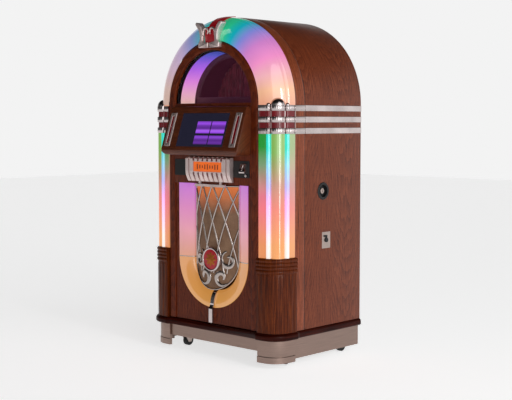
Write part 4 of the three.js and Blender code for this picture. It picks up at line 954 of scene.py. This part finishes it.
def make_selector():
    """Ribbed chrome grille casting; maroon strips lie in its grooves and dark figures stand on its lit panel."""
    dress(FRONT_CHROME_PAINTED_LIGHT, "selector_casting", bevel=1.6)
    dress(AMBER, "selector_window", bevel=1.0)
    low, high = span("selector_casting")
    lit_low, lit_high = span("selector_window")
    front, back = low[1], high[1]
    foot = high[2] - 109 * MM
    pitch = (lit_high[0] - lit_low[0]) / 6
    lower = np.array([(front + 9.2 * MM, lit_low[2] - 5 * MM), (back - 3.2 * MM, foot), (back - 1 * MM, foot),
                      (front + 12 * MM, lit_low[2] - 5 * MM)])
    upper = np.array([(front + 8.2 * MM, lit_high[2] + 5 * MM), (front + 8.2 * MM, high[2] - 2 * MM),
                      (front + 11 * MM, high[2] - 2 * MM), (front + 11 * MM, lit_high[2] + 5 * MM)])
    strips = []
    for x in lit_low[0] + pitch * np.arange(7):
        for line in (lower, upper):
            strips.append(np.stack([np.column_stack([np.full(4, x + d), line]) for d in (-5.2 * MM, 5.2 * MM)]))
    bundle("selector_inlays", strips, "door", MAROON, sharp=20)
    marks = []
    y = lit_low[1]
    for k, x in enumerate(np.linspace(-0.72, 0.72, 9) * lit_high[0]):
        z = 0.5 * (lit_low[2] + lit_high[2])
        tall = (9 + 3 * math.cos(1.7 * k)) * MM
        bar = np.array([(x - 3 * MM, z - tall), (x + 3 * MM, z - tall), (x + 3 * MM, z + tall), (x - 3 * MM, z + tall)])
        bar = rounded(bar, 2 * MM, 3)
        marks.append(np.stack([np.column_stack([bar[:, 0], np.full(len(bar), y + d), bar[:, 1]])
                               for d in (-0.8 * MM, 0.2 * MM)]))
    bundle("lit_panel_marks", marks, "door", MARK, sharp=20)


def make_console_housing():
    """Hooded wooden box: side profile carried across, its ends pulled in round the lower corners."""
    low, high = span("console_housing")
    z0, z1, back = low[2], high[2], high[1]
    slope = FACE_RUN / FACE_RISE

    def face(z):
        return FACE_FOOT[1] + (z - FACE_FOOT[2]) * slope

    profile = rounded([(back, z0), (face(z0 + 20 * MM) + 12 * MM, z0), (face(z0 + 20 * MM), z0 + 20 * MM),
                       (face(z1 - 8 * MM), z1 - 8 * MM), (face(z1 - 8 * MM) + 7 * MM, z1), (back, z1)],
                      [1 * MM, 9 * MM, 9 * MM, 5 * MM, 4 * MM, 1 * MM], 5)
    half = high[0]
    ends = np.array([0, 0.4, 1.5, 3.5, 7, 12, 18, 25]) * MM
    shrink = 25 * MM - np.sqrt(np.clip((25 * MM) ** 2 - (25 * MM - ends) ** 2, 0, None))
    places = zip(np.concatenate([-half + ends, half - ends[::-1]]), np.concatenate([shrink, shrink[::-1]]))
    rings = [np.column_stack([np.full(len(profile), x), np.maximum(profile[:, 0], low[1] + 0.2 * amount),
                              np.clip(profile[:, 1], z0 + 0.9 * amount, z1 - 0.3 * amount)]) for x, amount in places]
    hood = loft("console_hood", np.array(rings), "door", HOOD_VENEER, ["console_housing"], sharp=50)
    half_screen = FACE_HIGH[0] + 0.5 * MM
    bar_low, bar_high = span("console_bar_right")
    tools = [face_block(-half_screen, half_screen, -0.003, 1.003, -20 * MM, 9.5 * MM)]
    for x0, x1 in ((bar_low[0], bar_high[0]), (-bar_high[0], -bar_low[0])):
        tools.append(face_block(x0 - 0.3 * MM, x1 + 0.3 * MM, -0.002, 1.002, -20 * MM, 3.3 * MM))
    carve(hood, *tools)


def make_grille():
    """Chrome lattice on the bowed cloth: leaning rods both ways, broad scrolls round the badge, a rim and a top bar."""
    low, high = span("grille_lattice")
    r, top = U_IN - 5 * MM, U_HIGH[2] - 6 * MM
    sets = []
    for x0 in np.array([-214, -142, -70, 2, 74]) * MM:
        z = np.linspace(top, U_CENTRE - 58 * MM, 60)
        drop = (top - z) * 1000
        x = x0 + (0.5 * drop - 0.0004 * drop ** 2) * MM
        keep = np.hypot(x, np.minimum(z - U_CENTRE, 0)) < r + 1 * MM
        for sign in (1, -1):
            sets.append(wire_rings(sign * x[keep], z[keep], 4.2 * MM, lift=(0.8 if sign == 1 else -0.8) * MM))
    k = np.linspace(0, 1, 90)
    swell = (2.8 + 9.2 * np.sin(math.pi * k) ** 0.8)[:, None, None] * MM
    for cx, cz, r0, r1, a0, a1 in ((86, 2, 40, 14, 100, 470), (50, -78, 37, 12, -40, -400)):
        radius = (r0 + (r1 - r0) * k) * MM
        angle = np.radians(a0 + (a1 - a0) * k)
        x, z = cx * MM + radius * np.cos(angle), U_CENTRE + cz * MM + radius * np.sin(angle)
        for sign in (1, -1):
            sets.append(wire_rings(sign * x, z, swell, 16, lift=-1 * MM, flat=0.42))
    a = np.linspace(math.pi, 2 * math.pi, 80)
    legs = np.linspace(top, U_CENTRE, 12)[:-1]
    x = np.concatenate([np.full(11, -r), r * np.cos(a), np.full(11, r)])
    z = np.concatenate([legs, U_CENTRE + r * np.sin(a), legs[::-1]])
    sets.append(wire_rings(x, z, 3.8 * MM))
    x = np.linspace(-r, r, 30)
    sets.append(wire_rings(x, np.full(30, top), 4.6 * MM))
    bundle("scrolled_lattice", sets, "door", DARK_CHROME, ["grille_lattice"])
    b_low, b_high = span("speaker_board")
    half = b_high[0]
    x = np.linspace(-half, half, 60)
    foot = U_CENTRE - np.sqrt(np.clip(half ** 2 - x ** 2, 0, None))
    rows = np.linspace(0, 1, 60)[:, None]
    z = foot + rows * (b_high[2] - foot)
    y = np.broadcast_to(bow(x) + 6 * MM, z.shape)
    grid("speaker_cloth", np.stack([np.broadcast_to(x, z.shape), y, z], -1), "door", grille_cloth(), ["speaker_board"],
         thick=-4 * MM)


def grille_cloth():
    """Woven metallic speaker cloth: bronze and gold threads about 3 mm apart, lit orange from above."""
    material, tree, shader = new_material("bronze_speaker_cloth")
    where = add(tree, "ShaderNodeTexCoord").outputs["Object"]
    turn = add(tree, "ShaderNodeMapping", {"Vector": where})
    turn.inputs["Rotation"].default_value = (0, math.radians(45), 0)
    parts = add(tree, "ShaderNodeSeparateXYZ", {"Vector": turn.outputs[0]})
    threads = []
    for axis in ("X", "Z"):
        wave = add(tree, "ShaderNodeMath", {0: parts.outputs[axis]}, operation="MULTIPLY")
        wave.inputs[1].default_value = 2 * math.pi / 0.0045  # drawn 4.5 mm apart so that it still shows
        threads.append(add(tree, "ShaderNodeMath", {0: wave.outputs[0]}, operation="SINE").outputs[0])
    weave = add(tree, "ShaderNodeMath", {0: threads[0], 1: threads[1]}, operation="MULTIPLY")
    cloud = add(tree, "ShaderNodeTexNoise", {"Vector": where}, Scale=25.0, Detail=3.0)
    tone = add(tree, "ShaderNodeMath", {0: weave.outputs[0], 1: cloud.outputs["Fac"]}, operation="ADD")
    colour = ramp(tree, tone.outputs[0], [(0.0, "#4e3426"), (0.55, "#7c5c48"), (1.0, "#a98a6c")])
    tree.links.new(colour.outputs[0], shader.inputs["Base Color"])
    glow = ramp(tree, object_axis(tree, "Z", U_HIGH[2] - 130 * MM, U_HIGH[2]), [(0.0, "#301a0c"), (0.4, "#a04a14"),
                                                                               (0.75, "#e06a14"), (1.0, "#f07818")])
    lit = add(tree, "ShaderNodeMix", {6: glow.outputs[0], 7: colour.outputs[0]}, data_type="RGBA", blend_type="MULTIPLY")
    lit.inputs[0].default_value = 0.4
    tree.links.new(lit.outputs[2], shader.inputs["Emission Color"])
    shader.inputs["Emission Strength"].default_value = 0.9
    bump = add(tree, "ShaderNodeBump", {"Height": weave.outputs[0]}, Strength=0.5, Distance=0.0008)
    tree.links.new(bump.outputs[0], shader.inputs["Normal"])
    shader.inputs["Roughness"].default_value = 0.55
    shader.inputs["Metallic"].default_value = 0.35
    return material


def make_badge():
    """Round badge: chrome ring, domed maroon disc and a gilt eight-petalled rosette."""
    low, high = span("badge")
    centre = 0.5 * (low + high)
    front = low[1]
    place = (centre[0], front, centre[2])
    ring = rounded([(45, 1), (51, 0), (55, 4), (55, 11), (45, 11)], [1.5, 2.5, 2.5, 1, 1]) * MM
    turned("badge_ring", ring, place, "door", CHROME, ["badge"], ring=True)
    disc = np.vstack([[(0.1, 2.2), (15, 2.3), (30, 2.8), (40, 3.8), (45.2, 4.8)], [(45.2, 10.5), (0.1, 10.5)]]) * MM
    turned("badge_disc", disc, place, "door", RUBY)
    a = np.linspace(0, 2 * math.pi, 160, endpoint=False)
    petals = (17 + 15 * np.abs(np.cos(4 * a)) ** 1.2) * MM
    levels = [(1.0, 3.4), (0.97, 1.6), (0.8, 1.1), (0.4, 1.9), (0.34, 0.8), (0.2, 0.3), (0.02, 0.1)]
    rings = np.stack([np.stack([centre[0] + k * petals * np.cos(a), np.full_like(a, front + y * MM),
                                centre[2] + k * petals * np.sin(a)], -1) for k, y in levels])
    loft("badge_rosette", rings, "door", GILT, sharp=60)


HOOD_VENEER = veneer("stained_oak_hood", "#3e1a0b", "#582712", "#6c351b", gloss=0.36, figure=0.1)
AMBER = plastic("amber_acrylic", "#b85a14", 0.3, depth=0.00001)
MARK = plastic("printed_mark", "#7a2a08", 0.4, depth=0.00001)
RUBY = plastic("ruby_enamel", "#900414", 0.3, depth=0.00001)
LIGHT_BAND = lit_plastic("display_light_panel", fade([
    (0.0, "#e8a890"), (0.2, "#b060a0"), (0.4, "#5a50c0"), (0.5, "#3a58b8"), (0.58, "#5468e0"), (0.66, "#8a66f0"),
    (0.76, "#c470f8"), (0.85, "#f090ec"), (0.93, "#ffb8d8"), (1.0, "#f8c8b8")]), glow=0.95)
GILT = metal("gilt_brass", "#b06a30", 0.4)


def backlight_and_painted_glow(material, colour, strength):
    """Even glow of one colour: light from behind on the lit amber panel and the display glass, painted light on the
    maroon acrylic, the ruby enamel and the maroon paint.
    """
    shader = material.node_tree.nodes["Principled BSDF"]
    shader.inputs["Emission Color"].default_value = hue(colour)
    shader.inputs["Emission Strength"].default_value = strength
    return material


backlight_and_painted_glow(AMBER, "#cc5206", 0.75)
# The maroon acrylic's even glow is painted light.
backlight_and_painted_glow(MAROON, "#6c0812", 0.3)
# The ruby enamel of the badge, crest heart and saddle glows: painted light.
backlight_and_painted_glow(RUBY, "#a00616", 0.25)
# The maroon paint inside the display glows: painted light standing for the display's hidden lamps.
backlight_and_painted_glow(DARK_RED, "#582038", 0.3)


def screen_glass():
    """Touch panel: black glass over an unlit display, mirror smooth."""
    material = plastic("touch_panel_glass", "#1b1a26", 0.1, depth=0.000001)
    backlight_and_painted_glow(material, "#232236", 0.5)
    return material


def tile_light():
    """Lit tiles of the display: violet, brighter in two bands across each tile."""
    material, tree, shader = new_material("display_tiles")
    height = object_axis(tree, "Z", FACE_FOOT[2], FACE_FOOT[2] + FACE_RISE)
    colour = ramp(tree, height, [(0.07, "#4a2470"), (0.11, "#6d35a8"), (0.2, "#5a2a8c"), (0.28, "#8f4ad8"), (0.32, "#7a3fc0"),
                                 (0.42, "#9a4ce8"), (0.47, "#b566ff"), (0.54, "#5c2a8e"), (0.62, "#6d35a8"),
                                 (0.68, "#a050f0"), (0.73, "#8a46d0")])
    tree.links.new(colour.outputs[0], shader.inputs["Emission Color"])
    shader.inputs["Emission Strength"].default_value = 0.9
    shader.inputs["Base Color"].default_value = hue("#120818")
    shader.inputs["Roughness"].default_value = 0.15
    return material


SCREEN = screen_glass()
TILE = tile_light()


def make_fittings():
    dress(CHROME, *sides("side_strip_low"), *sides("side_strip_mid"), *sides("side_strip_top"), bevel=0.8)
    dress(KICK_METAL, "kick_front", *sides("kick_side"), bevel=0.8)
    dress(BOARD, "back_panel", bevel=1.5)
    dress(BOARD, "base_frame", bevel=0.8)
    dress(BLACK, "lock_cup", "dial_knob", "woofer", bevel=0.4)
    dress(PEWTER, "lock_barrel", "dial_plate", bevel=0.4)
    dress(RUBY, "crest_saddle", bevel=0.8)
    make_crest()
    dress(GLASS, "window_glass")
    for end in ("front", "rear"):
        for hand in ("right", "left"):
            dress(PEWTER, f"caster_fork_{end}_{hand}", bevel=0.8)
            dress(RUBBER, f"caster_wheel_{end}_{hand}", bevel=2.0)


GLASS = clear_glass("float_glass")


def make_crest():
    """Cast crest: two legs on stepped feet that flare outward, each with a scroll curling in to the middle."""
    low, high = span("crest_casting")
    foot, y0 = low[2], low[1]
    leg = [(4, 0), (62, 0), (64, 20), (58, 26), (54, 34), (53, 52), (60, 76), (82, 104), (78, 113), (64, 111),
           (50, 96), (40, 72), (37, 48), (38, 30), (34, 25), (4, 22)]
    a = np.linspace(0, 1, 40)
    turn = np.radians(-35 + 300 * a)
    curl = np.stack([24 - 13 * a + (16 - 9 * a) * np.cos(turn), 66 + 6 * a + (22 - 12 * a) * np.sin(turn)], -1)
    for side, name in ((RIGHT, "right"), (LEFT, "left")):
        outline = rounded(leg, [1.5, 2, 3, 3, 4, 8, 9, 4, 4, 5, 9, 9, 6, 4, 2, 1.5], 4) * MM * [side, 1] + [0, foot]
        slab(f"crest_leg_{name}", outline, (y0, high[1]), 3.5 * MM, "door", FRONT_CHROME_PAINTED_LIGHT, replaces=["crest_casting"])
        path = np.stack([side * curl[:, 0] * MM, np.full(40, y0 + 7 * MM), foot + curl[:, 1] * MM], -1)
        along = np.gradient(path, axis=0)
        along /= np.linalg.norm(along, axis=1, keepdims=True)
        normal = np.cross(along, [0, 1, 0])
        w = np.linspace(0, 2 * math.pi, 16, endpoint=False)
        wide = (5.5 - 2 * a)[:, None, None] * MM
        scroll = path[:, None] + wide * (np.cos(w)[None, :, None] * normal[:, None] +
                                         1.2 * np.sin(w)[None, :, None] * np.array([0, 1, 0]))
        bundle(f"crest_scroll_{name}", [scroll], "door", FRONT_CHROME_PAINTED_LIGHT)
    heart = rounded([(-30, 20), (30, 20), (34, 60), (24, 92), (-24, 92), (-34, 60)], 8, 5) * MM + [0, foot]
    slab("crest_heart", heart, (y0 + 13 * MM, y0 + 19 * MM), 2 * MM, "door", RUBY)


# ---------------------------------------------------------------- room
def make_room():
    """Seamless pale studio: even floor, wide soft sun from the right, sky pale at the horizon and dark overhead."""
    world = bpy.data.worlds.new("studio")
    bpy.context.scene.world = world
    world.use_nodes = True
    tree = world.node_tree
    sky = tree.nodes["Background"]
    where = add(tree, "ShaderNodeTexCoord")
    parts = add(tree, "ShaderNodeSeparateXYZ", {"Vector": where.outputs["Generated"]})
    climb = ramp(tree, parts.outputs["Z"], [(0.0, "#ffffff"), (0.3, "#d0d0d0"), (0.5, "#383838"), (1.0, "#141414")])
    facing = add(tree, "ShaderNodeVectorMath", {0: where.outputs["Generated"]}, operation="DOT_PRODUCT")
    facing.inputs[1].default_value = (-0.68, -0.73, 0)
    sweep = add(tree, "ShaderNodeMapRange", {"Value": facing.outputs["Value"]}, From_Min=0.1, From_Max=0.85, To_Min=1.0,
                To_Max=0.12)
    level = add(tree, "ShaderNodeMix", {6: climb.outputs[0], 7: sweep.outputs[0]}, data_type="RGBA",
                blend_type="MULTIPLY")
    level.inputs[0].default_value = 1.0
    tree.links.new(level.outputs[2], sky.inputs["Color"])
    sky.inputs["Strength"].default_value = 1.0
    seen = add(tree, "ShaderNodeBackground", Color=hue("#f3f3f3"), Strength=1.0)
    path = add(tree, "ShaderNodeLightPath")
    mix = add(tree, "ShaderNodeMixShader", {0: path.outputs["Is Camera Ray"], 1: sky.outputs[0], 2: seen.outputs[0]})
    tree.links.new(mix.outputs[0], tree.nodes["World Output"].inputs["Surface"])
    floor_material, floor_tree, shader = new_material("pale_floor")
    shader.inputs["Base Color"].default_value = hue("#f4f4f4")
    shader.inputs["Roughness"].default_value = 1.0
    shader.inputs["Specular IOR Level"].default_value = 0.0
    shader.inputs["Emission Color"].default_value = hue("#ffffff")
    shader.inputs["Emission Strength"].default_value = FLOOR_GLOW
    size = 14.0
    mesh = bpy.data.meshes.new("floor")
    mesh.from_pydata([(-size, -size, 0), (size, -size, 0), (size, size, 0), (-size, size, 0)], [], [(0, 1, 2, 3)])
    floor = bpy.data.objects.new("floor", mesh)
    mesh.materials.append(floor_material)
    bpy.context.scene.collection.objects.link(floor)
    sun = bpy.data.lights.new("soft_sun", "SUN")
    sun.energy = 1.2
    sun.angle = math.radians(70)
    hang(sun, (4.0, -1.2, 1.5), (0, 0, 0.6))
    for name, place, wide, tall, power, aim in (
            ("tall_box", (4.6, -1.15, 1.3), 0.45, 2.6, 42, (0, 0, 0.9)),):
        light = bpy.data.lights.new(name, "AREA")
        light.shape = "RECTANGLE"
        light.size, light.size_y = wide, tall
        light.energy = power
        hang(light, place, aim)


def hang(light, place, aim):
    """Puts a light at a place, pointed at an aim."""
    lamp = bpy.data.objects.new(light.name, light)
    lamp.location = place
    lamp.rotation_euler = to_euler(np.array(aim) - np.array(place))
    bpy.context.scene.collection.objects.link(lamp)


def to_euler(direction):
    """Rotation that points an object's -Z along a direction, with +Y kept up."""
    from mathutils import Vector
    return Vector(direction).to_track_quat("-Z", "Y").to_euler()


def make_camera():
    """Long lens at chest height, 43 degrees round to the right, tipped slightly down."""
    data = bpy.data.cameras.new("camera")
    data.sensor_width = 36
    data.lens = 77.8
    camera = bpy.data.objects.new("camera", data)
    camera.location = (3.5028, -3.7040, 1.070)
    camera.rotation_euler = (math.radians(90 - 4.095), 0, math.radians(43.04))
    bpy.context.scene.collection.objects.link(camera)
    bpy.context.scene.camera = camera
    bpy.context.scene.view_settings.view_transform = "Standard"


FLOOR_GLOW = 0.665
make_camera()
make_room()
make_cabinet()
make_arch_lens()
make_display()
make_door()
make_fittings()
